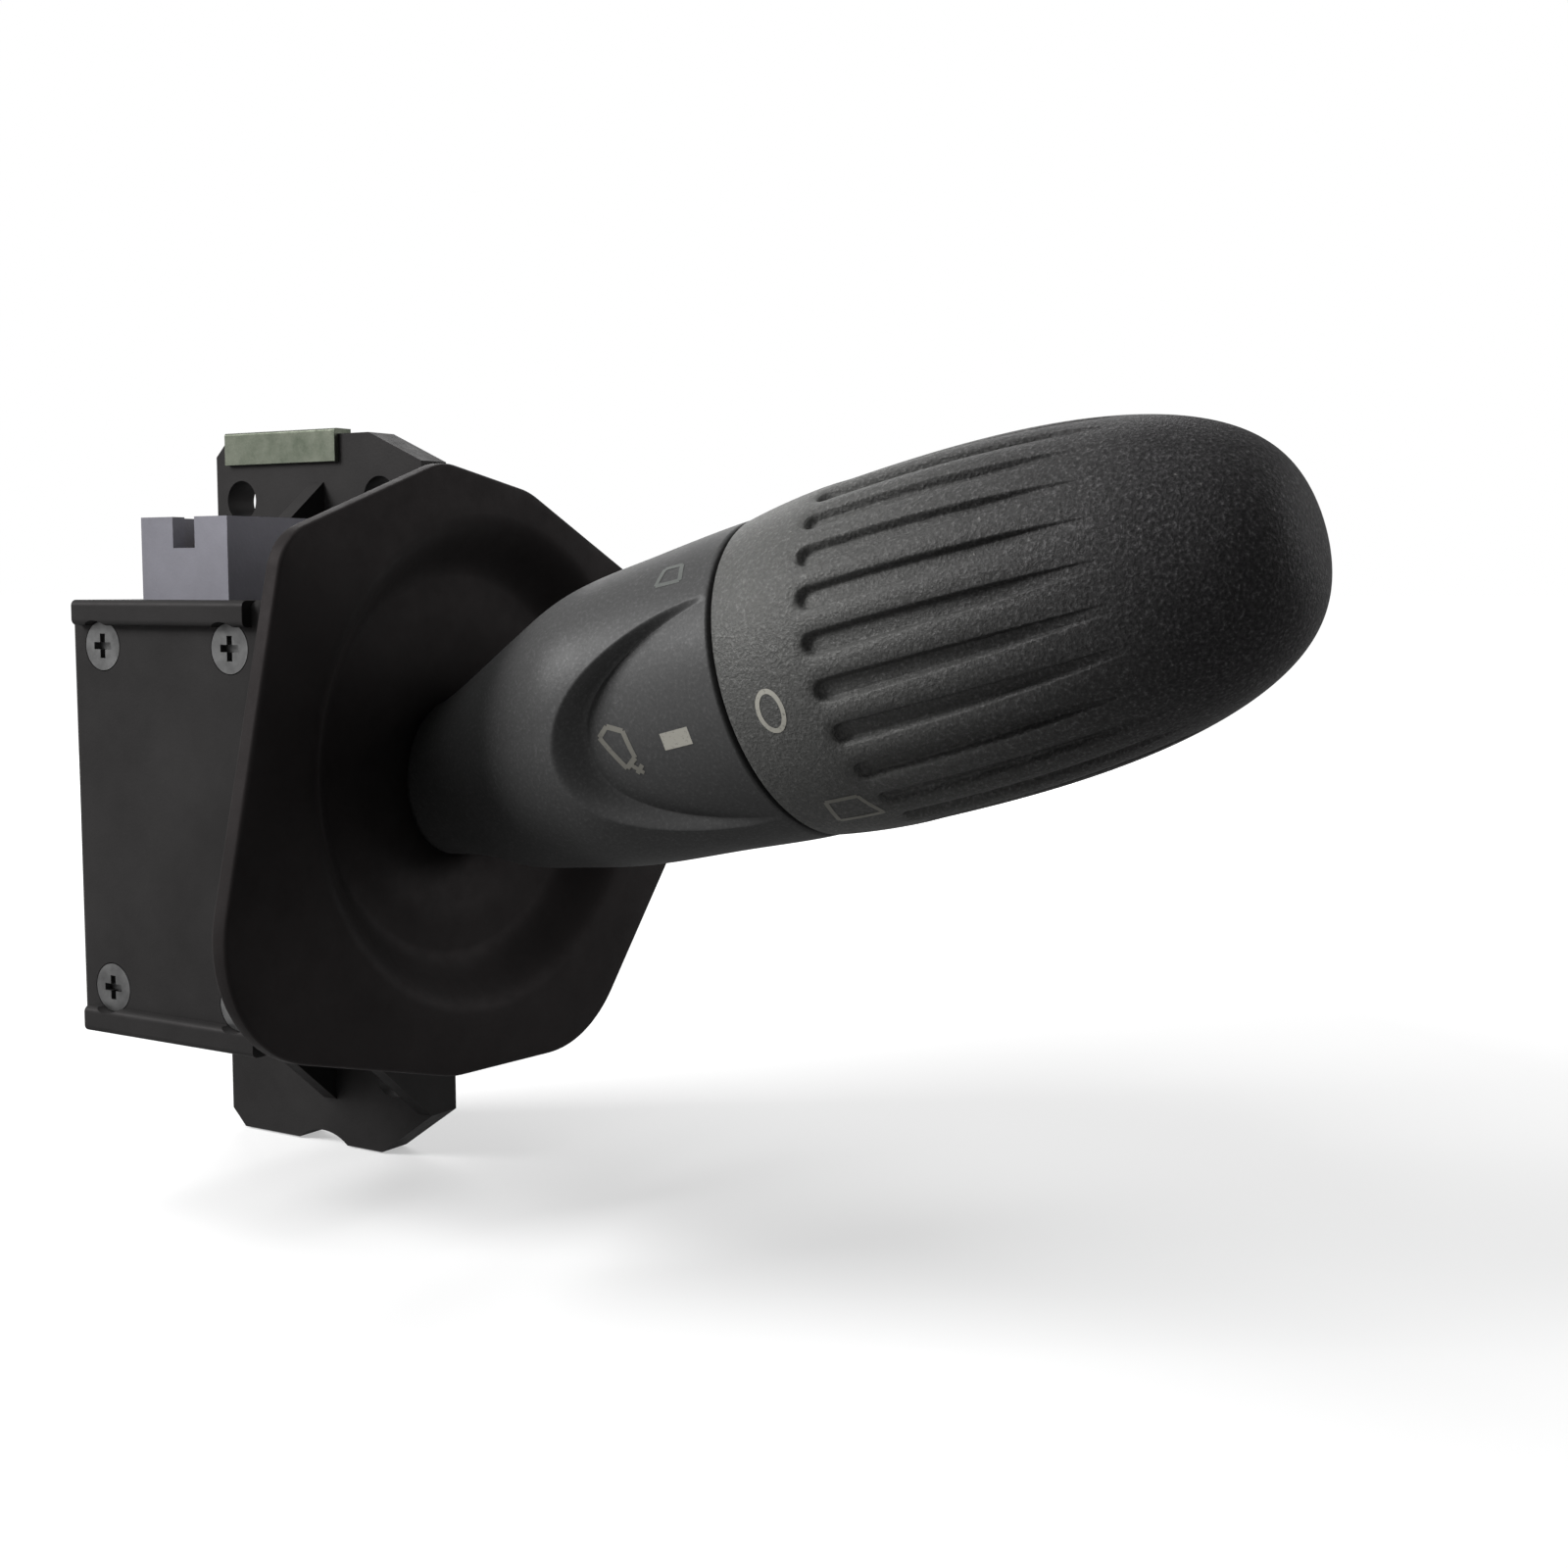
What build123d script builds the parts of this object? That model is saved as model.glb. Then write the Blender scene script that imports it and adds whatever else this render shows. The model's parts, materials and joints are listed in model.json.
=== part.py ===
from build123d import *
from math import cos, radians, sin, tan
import os

# Combination stalk switch for a steering column, in millimetres.
# +X runs outboard along the stalk, +Y forward (away from the driver), +Z up.
# The origin lies on the mounting face. Pieces are built about the gimbal pivot and moved at the end.

# Motion, degrees
STALK_RISE = 15.0
LIFT_UP = 5.5
LIFT_DETENT = 5.5
LIFT_STEPS_DOWN = 3
PULL_SWING = 6.0
KNOB_STEP = 45.0
KNOB_STEPS = 1

# Clearances
RUN_GAP = 0.35
PIVOT_GAP = 0.05
SLIP_GAP = 0.05
STEP_GAP = 0.1
SEAM_GAP = 0.4

# Pivot beside the origin
PIVOT_X = 3.5

# Knob
KNOB_LENGTH = 46.0
KNOB_RADIUS = 14.75
KNOB_RIM_RADIUS = 14.1
KNOB_BELLY = 9.0
NOSE_POWER = 2.5
NOSE_ROOT = 0.34
NOSE_STATIONS = (0.25, 0.5, 0.7, 0.84, 0.93, 0.98, 1.0)
KNOB_WALL = 2.4
HUB_WALL = 1.6
HUB_ROOM = 1.2
HOLLOW_STEPS = 4
SPOKES = 6
FLUTES = 24
FLUTE_TURN = 12.6
FLUTE_START = 9.8
FLUTE_END = 34.5
FLUTE_RADIUS = 1.15
FLUTE_TIP_RADIUS = 0.4
FLUTE_LIFT = 0.15
FLUTE_RUNOUT = 0.8
FLUTE_STATIONS = (0.0, 0.4, 0.75, 1.0)

# Arm: share of its length behind the seam, offset to the driver, drop, half width, half height
ARM_LENGTH = 36.5
ARM_STATIONS = [
    (0.25, 0.45, 0.05, 14.1, 13.5),
    (0.5, 1.0, 0.25, 13.8, 12.6),
    (0.68, 0.9, 0.6, 12.2, 11.3),
    (0.89, 0.6, 0.9, 9.7, 9.6),
    (1.04, 0.3, 0.6, 7.9, 7.9),
    (1.2, 0.0, 0.3, 6.9, 6.9),
]
FACE_TURN = 10.0
FACE_LENGTH = 13.0
FACE_HALF_WIDTH = 9.5
FACE_FOOT = 10.0
FACE_TOP = 17.0
FACE_RUNOUT = 0.9
FACE_FLARE = 0.6
FACE_SLOPE = 0.07
ARM_CHAMBER_DEPTH = 13.5

# Lever core
SHAFT_RADIUS = 5.0
SHAFT_BORE = 2.6
SHAFT_END = 14.5
BOSS_FRONT = 7.0
BOSS_TAIL = 7.5
BOSS_HALF_WIDTH = 5.5
BOSS_HALF_HEIGHT = 6.2
COLLAR_RADIUS = 7.0
COLLAR_WIDTH = 2.0
ARM_SCREW_STATION = 27.5
ARM_SCREW_RADIUS = 1.25
ARM_SCREW_HEAD = 2.2
ARM_SCREW_SEAT = 7.6

# Shield: corners of the plate, away from the driver and above the shaft, each with its rounding
SHIELD_DISTANCE = 24.0
SHIELD_CORNERS = [
    (-36.5, -21.4, 12.0),
    (-5.8, -29.3, 12.0),
    (15.0, -30.0, 13.0),
    (33.5, -7.8, 9.0),
    (33.5, 13.2, 9.0),
    (6.5, 26.3, 9.0),
    (-6.0, 28.6, 6.0),
    (-26.4, 21.4, 5.0),
]
SHIELD_THICK = 1.8
WELL_DEPTH = 4.0
WELL_RADIUS = 23.0
WELL_FLOOR_RADIUS = 19.0
HUB_RADIUS = 7.5
HUB_REACH = 2.0

# Yoke and pull pin
PULL_PIN_RADIUS = 1.5
CHEEK = 2.6
BRIDGE = 2.6
YOKE_FRONT = 3.5
YOKE_BACK = 5.0
ARM_HALF_HEIGHT = 4.0
BACK_WALL = 2.0
TRUNNION_RADIUS = 2.5
BUSH_RADIUS = 4.0
BUSH_LENGTH = 6.0
BUSH_STANDOFF = 0.6
BUSH_FLOOR = 0.2
BOSS_WALL = 1.5
PEG_RADIUS = 1.2
PEG_REACH = 11.0

# Plungers and springs
PLUNGER_RADIUS = 1.8
PLUNGER_BORE = 1.2
PLUNGER_WALL = 0.7
PLUNGER_TRAVEL = 0.4
PLUNGER_NOSE = 0.7
PULL_NOSE_OUT = 2.7
PULL_BORE_DEPTH = 4.3
LIFT_TIP = 13.0
LIFT_NOSE_LENGTH = 1.4
LIFT_NOSE_OUT = 2.2
LIFT_BORE_DEPTH = 3.8
CAM_NOTCH = 0.5
CAM_WALL = 1.65
WIRE_RADIUS = 0.2
SPRING_RADIUS = 0.9
SPRING_TURNS = 5

# Housing
WALL = 2.2
TOP = 22.0
BOTTOM = -21.0
EDGE_ROUND = 1.5
BEAD = 2.5
BEAD_OUT = 1.2
FLANGE_THICK = 4.0
FLANGE_FRONT = 0.6
FLANGE_BACK = -30.4
LUG_RISE = 18.0
LUG_DROP = 19.0
FRONT_CUT = 7.5
TOP_CUT = 3.3
LOW_CUT = 5.2
BACK_CUT = 2.0
NOTCH_RADIUS = 6.0
NOTCH_DEPTH = 1.3
NOTCH_X = -15.9
GUSSET = 2.0
MOUNT_HOLE = 2.25
MOUNT_SPACING = 21.0
MOUNT_X = -16.0
MOUNT_RISE = 11.0
LOCATOR_RADIUS = 2.5
LOCATOR_X = -5.0
LOCATOR_DROP = 10.0
CLIP_THICK = 0.6
CLIP_LIP = 3.0
CLIP_END = -11.4
COVER_SCREW_RADIUS = 1.2
COVER_SCREW_HEAD = 2.4
COVER_SCREW_DEPTH = 9.0
SCREW_BOSS = 2.4
HEAD_DEPTH = 1.5
RECESS_WIDTH = 0.7

# Electrical
BOARD = 1.2
TRACK = 0.2
PAD_OUT = 0.3
PAD_RADIUS = 0.6
SLIDER_THICK = 2.2
SLIDER_HALF_HEIGHT = 6.0
SLIDER_END_GAP = 0.5
SLIDER_EDGE = 2.8
GUIDE_WIDTH = 1.0
TRACKS = 3
TRACK_PITCH = 2.2
TRACK_WIDTH = 1.2
BOARD_MARGIN = 0.8
SHROUD_BACK = -1.0
SHROUD_WALL = 1.5
SHROUD_RISE = 8.0
SHROUD_FLOOR = 1.5
SHROUD_LEDGE = 0.5
PINS = 6
PIN_PITCH = 1.5
PIN_SIZE = 0.64
PIN_OUT = 5.0
PIN_EDGE = 1.0
PIN_SETBACK = 2.1

# Knob bearing and contacts
SPINDLE_RADIUS = 5.0
SPINDLE_BORE = 2.5
SPINDLE_FLANGE = 3.0
SPINDLE_FLANGE_SET = 2.5
SPINDLE_ROOT = 3.0
SPINDLE_REACH = 31.5
SPINDLE_TIP = 0.75
ROTOR_RADIUS = 8.0
ROTOR_MARGIN = 0.5
ROTOR_FLANGE = 3.2
KEY_WIDTH = 2.4
KEY_HEIGHT = 0.9
KNOB_BOARD = 1.0
CONTACT_ROOM = 0.8
BRUSH = 0.3
BRUSH_WIDTH = 1.2
BRUSH_MARGIN = 0.2
WIPERS = 3
WIPER_SPREAD = 60.0
BALL_RADIUS = 1.5
BALL_SHOULDER = 1.1
CHAMBER_RIM = 2.1
BALL_WELL = 6.8
BALL_WELL_WALL = 1.0
TRACK_GROOVE = 0.6
CLIP = 0.8
CLIP_DEPTH = 0.8
CLIP_OUT = 1.6
LEAD_RADIUS = 0.55
LEAD_CIRCLE = 1.4
LEAD_BEND = 1.5
LEADS = 3
LEAD_SPREAD = 60.0

# Sizes that follow
top_tilt = radians(STALK_RISE + LIFT_UP)
low_tilt = radians(STALK_RISE - LIFT_DETENT * LIFT_STEPS_DOWN)
rise = radians(STALK_RISE)
pull = radians(PULL_SWING)
opening_width = BOSS_HALF_WIDTH * cos(pull) + BOSS_TAIL * sin(pull) + RUN_GAP
opening_height = BOSS_HALF_HEIGHT + RUN_GAP
cheek_out = opening_width + CHEEK
yoke_height = opening_height + BRIDGE
pull_tip = BOSS_TAIL + PULL_NOSE_OUT
yoke_rear = pull_tip + RUN_GAP
yoke_end = yoke_rear + BACK_WALL
boss_in = cheek_out + BUSH_STANDOFF
bush_boss = BUSH_RADIUS + BOSS_WALL
slider_in = cheek_out + RUN_GAP
slider_out = slider_in + SLIDER_THICK
track_face = slider_out + PAD_OUT + STEP_GAP
board_face = track_face + TRACK
near_in = board_face + BOARD
near_out = near_in + WALL
flange_face = boss_in + BUSH_LENGTH + BUSH_FLOOR
pivot_depth = flange_face + FLANGE_THICK
front_in = YOKE_FRONT * cos(top_tilt) + yoke_height * sin(top_tilt) + 2 * RUN_GAP
front_out = front_in + WALL
seam = SHIELD_DISTANCE + ARM_LENGTH
mouth = seam - SEAM_GAP / 2
knob_mouth = seam + SEAM_GAP / 2
ball_circle = SPINDLE_RADIUS + BALL_RADIUS + BALL_SHOULDER
arm_chamber = ball_circle + BALL_RADIUS + CHAMBER_RIM
rotor_rim = arm_chamber - ROTOR_MARGIN
brush_outer = rotor_rim - BRUSH_MARGIN
brush_inner = brush_outer - BRUSH_WIDTH
clip_outer = SPINDLE_RADIUS + CLIP_OUT
rim_x = SHIELD_DISTANCE * cos(rise)
rim_z = SHIELD_DISTANCE * sin(rise)
floor_x = rim_x - WELL_DEPTH
hub_start = (floor_x - SHIELD_THICK) / cos(rise) - HUB_REACH
collar_start = hub_start - COLLAR_WIDTH
chamber_floor = mouth - ARM_CHAMBER_DEPTH
shaft_tip = seam - SHAFT_END
flange_end = mouth - SPINDLE_FLANGE_SET
flange_start = flange_end - SPINDLE_FLANGE
spindle_start = flange_start - SPINDLE_ROOT
board_end = flange_end + KNOB_BOARD
rotor_face = board_end + CONTACT_ROOM
rotor_step = rotor_face + ROTOR_FLANGE
spindle_end = seam + SPINDLE_REACH
clip_start = spindle_end - SPINDLE_TIP - CLIP
rotor_end = clip_start - RUN_GAP
hub_bore = ROTOR_RADIUS + SLIP_GAP
hub_out = hub_bore + HUB_WALL
peg_x = -PEG_REACH * cos(rise)
peg_z = -PEG_REACH * sin(rise)
lift_row = cheek_out + PLUNGER_RADIUS + PLUNGER_WALL
lift_wall = PLUNGER_RADIUS + PLUNGER_WALL
cam_radius = LIFT_TIP + RUN_GAP
back_room = cam_radius + CAM_WALL
back_out = back_room + WALL
flange_top = TOP + LUG_RISE
flange_bottom = BOTTOM - LUG_DROP


def block(x, y, z):
    return Pos((x[0] + x[1]) / 2, (y[0] + y[1]) / 2, (z[0] + z[1]) / 2) * Box(
        x[1] - x[0], y[1] - y[0], z[1] - z[0]
    )


def rod_x(radius, x, y=0.0, z=0.0):
    return Pos((x[0] + x[1]) / 2, y, z) * Rot(0, 90, 0) * Cylinder(radius, x[1] - x[0])


def rod_y(radius, y, x=0.0, z=0.0):
    return Pos(x, (y[0] + y[1]) / 2, z) * Rot(90, 0, 0) * Cylinder(radius, y[1] - y[0])


def rod_z(radius, z, x=0.0, y=0.0):
    return Pos(x, y, (z[0] + z[1]) / 2) * Cylinder(radius, z[1] - z[0])


def turned_x(points):
    outline = make_face(Polyline(*[(x, r, 0) for x, r in points], close=True))
    return revolve(outline, Axis.X)


def around_x(shape, degrees):
    return Rot(degrees, 0, 0) * shape


def spring_x(start, end, radius, y=0.0, z=0.0):
    length = end - start - 2 * WIRE_RADIUS
    path = Helix(length / SPRING_TURNS, length, radius)
    wire = Plane(origin=path @ 0, z_dir=path % 0) * Circle(WIRE_RADIUS)
    coil = sweep(wire, path=path, is_frenet=True)
    return Pos(start + WIRE_RADIUS, y, z) * Rot(0, 90, 0) * coil


def knob_radius(s):
    if s < KNOB_BELLY:
        return KNOB_RADIUS - (KNOB_RADIUS - KNOB_RIM_RADIUS) * ((KNOB_BELLY - s) / KNOB_BELLY) ** 2
    reach = (s - KNOB_BELLY) / (KNOB_LENGTH - KNOB_BELLY)
    return KNOB_RADIUS * max(0.0, 1 - reach**NOSE_POWER) ** NOSE_ROOT


def tilted(shape):
    return Rot(0, -STALK_RISE, 0) * shape


def group(pieces):
    return Compound([solid for piece in pieces for solid in piece.solids()])


# Housing, rear half with the mounting flange
screw_spots = [
    (SCREW_BOSS - back_room - STEP_GAP, TOP - WALL - SCREW_BOSS + STEP_GAP),
    (front_in - SCREW_BOSS + STEP_GAP, TOP - WALL - SCREW_BOSS + STEP_GAP),
    (SCREW_BOSS - back_room - STEP_GAP, BOTTOM + WALL + SCREW_BOSS - STEP_GAP),
    (front_in - SCREW_BOSS + STEP_GAP, BOTTOM + WALL + SCREW_BOSS - STEP_GAP),
]
window_half = front_out * tan(pull) / cos(top_tilt) + SHAFT_RADIUS / cos(pull) + 2 * RUN_GAP
window_top = front_out * tan(top_tilt) + SHAFT_RADIUS / cos(top_tilt) + 2 * RUN_GAP
window_low = front_out * tan(low_tilt) - BOSS_HALF_HEIGHT / cos(low_tilt) - 2 * RUN_GAP
window = block((front_in - WALL, front_out + WALL), (-window_half, window_half), (window_low, window_top))
shell_x = (-back_out, front_out)
room_x = (-back_room, front_in)
room_top = TOP - WALL
room_z = (BOTTOM + WALL, room_top)


def half_shell(y, room_y):
    outer = block(shell_x, y, (BOTTOM, TOP))
    outer = fillet(outer.edges().filter_by(Axis.Y), EDGE_ROUND)
    return outer - block(room_x, room_y, room_z)


flange_outline = Polygon(
    (FLANGE_BACK, flange_top - BACK_CUT),
    (FLANGE_BACK + BACK_CUT, flange_top),
    (FLANGE_FRONT - FRONT_CUT, flange_top),
    (FLANGE_FRONT, flange_top - TOP_CUT),
    (FLANGE_FRONT, flange_bottom + LOW_CUT),
    (FLANGE_FRONT - FRONT_CUT, flange_bottom),
    (FLANGE_BACK + BACK_CUT, flange_bottom),
    (FLANGE_BACK, flange_bottom + BACK_CUT),
    align=None,
)
flange_outline -= Pos(NOTCH_X, flange_bottom - NOTCH_RADIUS + NOTCH_DEPTH) * Circle(NOTCH_RADIUS)
flange = extrude(Plane.XZ.offset(-pivot_depth) * flange_outline, FLANGE_THICK, dir=(0, -1, 0))


def gusset(x, z, tip):
    triangle = Polygon((0.0, z), (flange_face, z), (flange_face, tip), align=None)
    return extrude(Plane.YZ.offset(x) * triangle, GUSSET, dir=(1, 0, 0))


base = half_shell((0.0, pivot_depth), (0.0, flange_face)) + flange
for gusset_x in (FLANGE_FRONT - GUSSET, EDGE_ROUND - back_out):
    base += gusset(gusset_x, BOTTOM, flange_bottom + LOW_CUT)
    base += gusset(gusset_x, TOP, flange_top - LOW_CUT)
base += rod_y(bush_boss, (boss_in, flange_face))
for spot_x, spot_z in screw_spots:
    base += rod_y(SCREW_BOSS, (0.0, flange_face), spot_x, spot_z)
base -= window
base -= rod_y(BUSH_RADIUS, (boss_in, boss_in + BUSH_LENGTH))
for spot_x, spot_z in screw_spots:
    base -= rod_y(COVER_SCREW_RADIUS, (0.0, COVER_SCREW_DEPTH), spot_x, spot_z)
for side in (-1, 1):
    base -= rod_y(
        MOUNT_HOLE,
        (flange_face - WALL, pivot_depth + WALL),
        MOUNT_X + side * MOUNT_SPACING / 2,
        TOP + MOUNT_RISE,
    )
base -= rod_y(LOCATOR_RADIUS, (flange_face - WALL, pivot_depth + WALL), LOCATOR_X, BOTTOM - LOCATOR_DROP)

# Plated spring clip over the top edge of the upper lug
clip_x = (FLANGE_BACK + BACK_CUT, CLIP_END)
lug_plate = block(
    clip_x,
    (flange_face - CLIP_THICK, flange_face),
    (flange_top - CLIP_LIP, flange_top + CLIP_THICK),
)
lug_plate += block(
    clip_x,
    (flange_face - CLIP_THICK, flange_face + FLANGE_THICK / 2),
    (flange_top, flange_top + CLIP_THICK),
)
clip_bend = lug_plate.edges().filter_by(Axis.X).group_by(Axis.Z)[-1].group_by(Axis.Y)[0]
lug_plate = fillet(clip_bend, CLIP_THICK / 2)

# Contact board, slider and connector stand in the cover
peg_travel_up = PEG_REACH * (sin(top_tilt) - sin(rise))
peg_travel_down = PEG_REACH * (sin(rise) - sin(low_tilt))
slider_x = (SLIDER_END_GAP - back_room, peg_x + SLIDER_EDGE)
slider_z = (peg_z - SLIDER_HALF_HEIGHT, peg_z + SLIDER_HALF_HEIGHT)
guide_x = (slider_x[1] + RUN_GAP, slider_x[1] + RUN_GAP + GUIDE_WIDTH)
guide_z = (slider_z[0] - peg_travel_up, slider_z[1] + peg_travel_down)
guide = block(guide_x, (-near_in, -slider_in - RUN_GAP), guide_z)
shroud_x = (2 * SCREW_BOSS - back_room + RUN_GAP, front_in - 2 * SCREW_BOSS - RUN_GAP)
shroud_y = (SHROUD_LEDGE + SLIP_GAP - near_in, SHROUD_BACK)
shroud_top = TOP + SHROUD_RISE

cover = half_shell((-near_out, 0.0), (-near_in, 0.0))
cover = fillet(cover.edges().filter_by(Plane.XZ).group_by(Axis.Y)[0], EDGE_ROUND / 2)
for bead_z in ((TOP - BEAD, TOP), (BOTTOM, BOTTOM + BEAD)):
    bead = block((EDGE_ROUND - back_out, front_out - EDGE_ROUND), (-near_out - BEAD_OUT, -near_in), bead_z)
    cover += fillet(bead.edges().filter_by(Axis.X).group_by(Axis.Y)[0], BEAD_OUT / 2)
cover += rod_y(bush_boss, (-near_in, -boss_in))
cover += guide
for spot_x, spot_z in screw_spots:
    cover += rod_y(SCREW_BOSS, (-near_in, 0.0), spot_x, spot_z)
cover -= window
cover -= rod_y(BUSH_RADIUS, (-near_out + WALL / 2, -boss_in))
cover -= block(shroud_x, shroud_y, (room_top - WALL, TOP + WALL))
head_y = (-near_out, -near_out + HEAD_DEPTH)
sink_y = (-near_out - BEAD_OUT, -near_out + HEAD_DEPTH)
for spot_x, spot_z in screw_spots:
    cover -= rod_y(COVER_SCREW_RADIUS + STEP_GAP, (-near_out, 0.0), spot_x, spot_z)
    cover -= rod_y(COVER_SCREW_HEAD + STEP_GAP, sink_y, spot_x, spot_z)


def cover_screw(x, z):
    head = rod_y(COVER_SCREW_HEAD, head_y, x, z)
    recess = block(
        (x - COVER_SCREW_HEAD / 2, x + COVER_SCREW_HEAD / 2),
        (-near_out, -near_out + HEAD_DEPTH / 2),
        (z - RECESS_WIDTH / 2, z + RECESS_WIDTH / 2),
    )
    cross = block(
        (x - RECESS_WIDTH / 2, x + RECESS_WIDTH / 2),
        (-near_out, -near_out + HEAD_DEPTH / 2),
        (z - COVER_SCREW_HEAD / 2, z + COVER_SCREW_HEAD / 2),
    )
    shank = rod_y(COVER_SCREW_RADIUS, (-near_out + HEAD_DEPTH, COVER_SCREW_DEPTH), x, z)
    return head - recess - cross + shank


housing_screws = group([cover_screw(x, z) for x, z in screw_spots])

bush_hole = TRUNNION_RADIUS + PIVOT_GAP
rear_bush = rod_y(BUSH_RADIUS, (boss_in, boss_in + BUSH_LENGTH))
rear_bush -= rod_y(bush_hole, (boss_in, boss_in + BUSH_LENGTH))
near_bush = rod_y(BUSH_RADIUS, (-near_out + WALL / 2, -boss_in))
near_bush -= rod_y(bush_hole, (-near_out + WALL / 2, -boss_in))
pivot_bushes = group([rear_bush, near_bush])

pin_first = (shroud_x[0] + shroud_x[1]) / 2 - PIN_PITCH * (PINS - 1) / 2
pin_half = PIN_SIZE / 2
socket_x = (shroud_x[0] + SHROUD_WALL, shroud_x[1] - SHROUD_WALL)
socket_y = (shroud_y[0] + SHROUD_WALL, shroud_y[1] - SHROUD_WALL)
pin_row = socket_y[1] - PIN_SETBACK
board_z = (BOTTOM + WALL + 2 * SCREW_BOSS + BOARD_MARGIN, room_top - 2 * SCREW_BOSS - BOARD_MARGIN)
pin_run = board_z[1] - PIN_EDGE


def terminal(index):
    x = pin_first + index * PIN_PITCH
    span = (x - pin_half, x + pin_half)
    upright = block(
        span,
        (pin_row - pin_half, pin_row + pin_half),
        (pin_run - pin_half, TOP + SHROUD_FLOOR + PIN_OUT),
    )
    run = block(span, (-near_in, pin_row + pin_half), (pin_run - pin_half, pin_run + pin_half))
    return upright + run


terminals = [terminal(index) for index in range(PINS)]
terminal_pins = group(terminals)

connector = block(shroud_x, shroud_y, (room_top, shroud_top))
connector += block(
    shroud_x,
    (shroud_y[0] - SHROUD_LEDGE, shroud_y[1] + SHROUD_LEDGE),
    (room_top - SHROUD_FLOOR, room_top),
)
connector -= block(socket_x, socket_y, (TOP + SHROUD_FLOOR, shroud_top))
latch_mid = (shroud_x[0] + shroud_x[1]) / 2
connector -= block(
    (latch_mid - SHROUD_WALL, latch_mid + SHROUD_WALL),
    (shroud_y[0], socket_y[0]),
    (shroud_top - 2 * SHROUD_WALL, shroud_top),
)
for pin in terminals:
    connector -= pin

contact_board = block((-back_room, front_in), (-near_in, -board_face), board_z)
contact_board -= rod_y(bush_boss, (-near_in, -board_face))
contact_board -= guide
for pin in terminals:
    contact_board -= pin
track_first = (slider_x[0] + slider_x[1]) / 2 - TRACK_PITCH * (TRACKS - 1) / 2
track_rows = [track_first + index * TRACK_PITCH for index in range(TRACKS)]
track_y = (-board_face, -track_face)
contact_tracks = group(
    [block((x - TRACK_WIDTH / 2, x + TRACK_WIDTH / 2), track_y, guide_z) for x in track_rows]
)

slot_half = PEG_RADIUS + RUN_GAP / 2
speed_slider = block(slider_x, (-slider_out, -slider_in), slider_z)
speed_slider -= block(
    (peg_x - slot_half - RUN_GAP, peg_x + slot_half + RUN_GAP),
    (-slider_out, -slider_in),
    (peg_z - slot_half, peg_z + slot_half),
)
pad_z = (peg_z + slot_half + slider_z[1]) / 2
pad_y = (-slider_out - PAD_OUT, -slider_out)
slider_contacts = group([rod_y(PAD_RADIUS, pad_y, x, pad_z) for x in track_rows])

# Detent cam on the back wall of the room
cam_y = (cheek_out + RUN_GAP, lift_row + lift_wall)
cam_z = (-cam_radius * sin(top_tilt) - lift_wall, -cam_radius * sin(low_tilt) + lift_wall)
detent_cam = block((-back_room, 0.0), cam_y, cam_z)
detent_cam -= rod_y(cam_radius, cam_y)
for step in range(-1, LIFT_STEPS_DOWN + 1):
    notch = radians(STALK_RISE - step * LIFT_DETENT)
    detent_cam -= rod_y(CAM_NOTCH, cam_y, -cam_radius * cos(notch), -cam_radius * sin(notch))

# Yoke, in the stalk's own frame: X along the stalk, Z the pull axis
yoke = block((-YOKE_BACK, YOKE_FRONT), (-cheek_out, cheek_out), (-yoke_height, yoke_height))
yoke += block((-yoke_end, 0.0), (-cheek_out, cheek_out), (-ARM_HALF_HEIGHT, ARM_HALF_HEIGHT))
yoke -= block((-yoke_rear, YOKE_FRONT), (-opening_width, opening_width), (-opening_height, opening_height))
yoke += block((-yoke_end, -yoke_rear), (-cheek_out, cheek_out), (-ARM_HALF_HEIGHT, ARM_HALF_HEIGHT))
yoke += rod_y(TRUNNION_RADIUS, (cheek_out, boss_in + BUSH_LENGTH - RUN_GAP))
yoke += rod_y(TRUNNION_RADIUS, (-near_out + WALL / 2 + RUN_GAP, -cheek_out))
yoke += rod_y(PEG_RADIUS, (-slider_out + RUN_GAP, -cheek_out), -PEG_REACH)
bore_mouth = LIFT_TIP - LIFT_NOSE_OUT
bore_floor = bore_mouth - LIFT_BORE_DEPTH
yoke += block(
    (-bore_mouth, PLUNGER_WALL - bore_floor),
    (cheek_out, lift_row + lift_wall),
    (-lift_wall, lift_wall),
)
yoke -= rod_x(PLUNGER_RADIUS + PIVOT_GAP, (-bore_mouth, -bore_floor), lift_row)
yoke -= rod_z(PULL_PIN_RADIUS, (-yoke_height, yoke_height))
vee = Rot(0, 0, 45) * Box(CAM_NOTCH * 2, CAM_NOTCH * 2, ARM_HALF_HEIGHT * 2)
yoke -= Pos(-yoke_rear, 0, 0) * vee

pull_pin = rod_z(PULL_PIN_RADIUS, (-yoke_height, yoke_height))

lift_back = bore_floor + PLUNGER_TRAVEL
lift_shoulder = LIFT_TIP - LIFT_NOSE_LENGTH
lift_cup = lift_shoulder - PLUNGER_WALL
lift_plunger = Pos(0, lift_row, 0) * turned_x(
    [
        (-lift_back, PLUNGER_BORE),
        (-lift_back, PLUNGER_RADIUS),
        (-lift_shoulder, PLUNGER_RADIUS),
        (-LIFT_TIP, CAM_NOTCH / 2),
        (-LIFT_TIP, 0.0),
        (-lift_cup, 0.0),
        (-lift_cup, PLUNGER_BORE),
    ]
)
lift_spring = spring_x(-lift_cup, -bore_floor, SPRING_RADIUS, lift_row)

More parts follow.
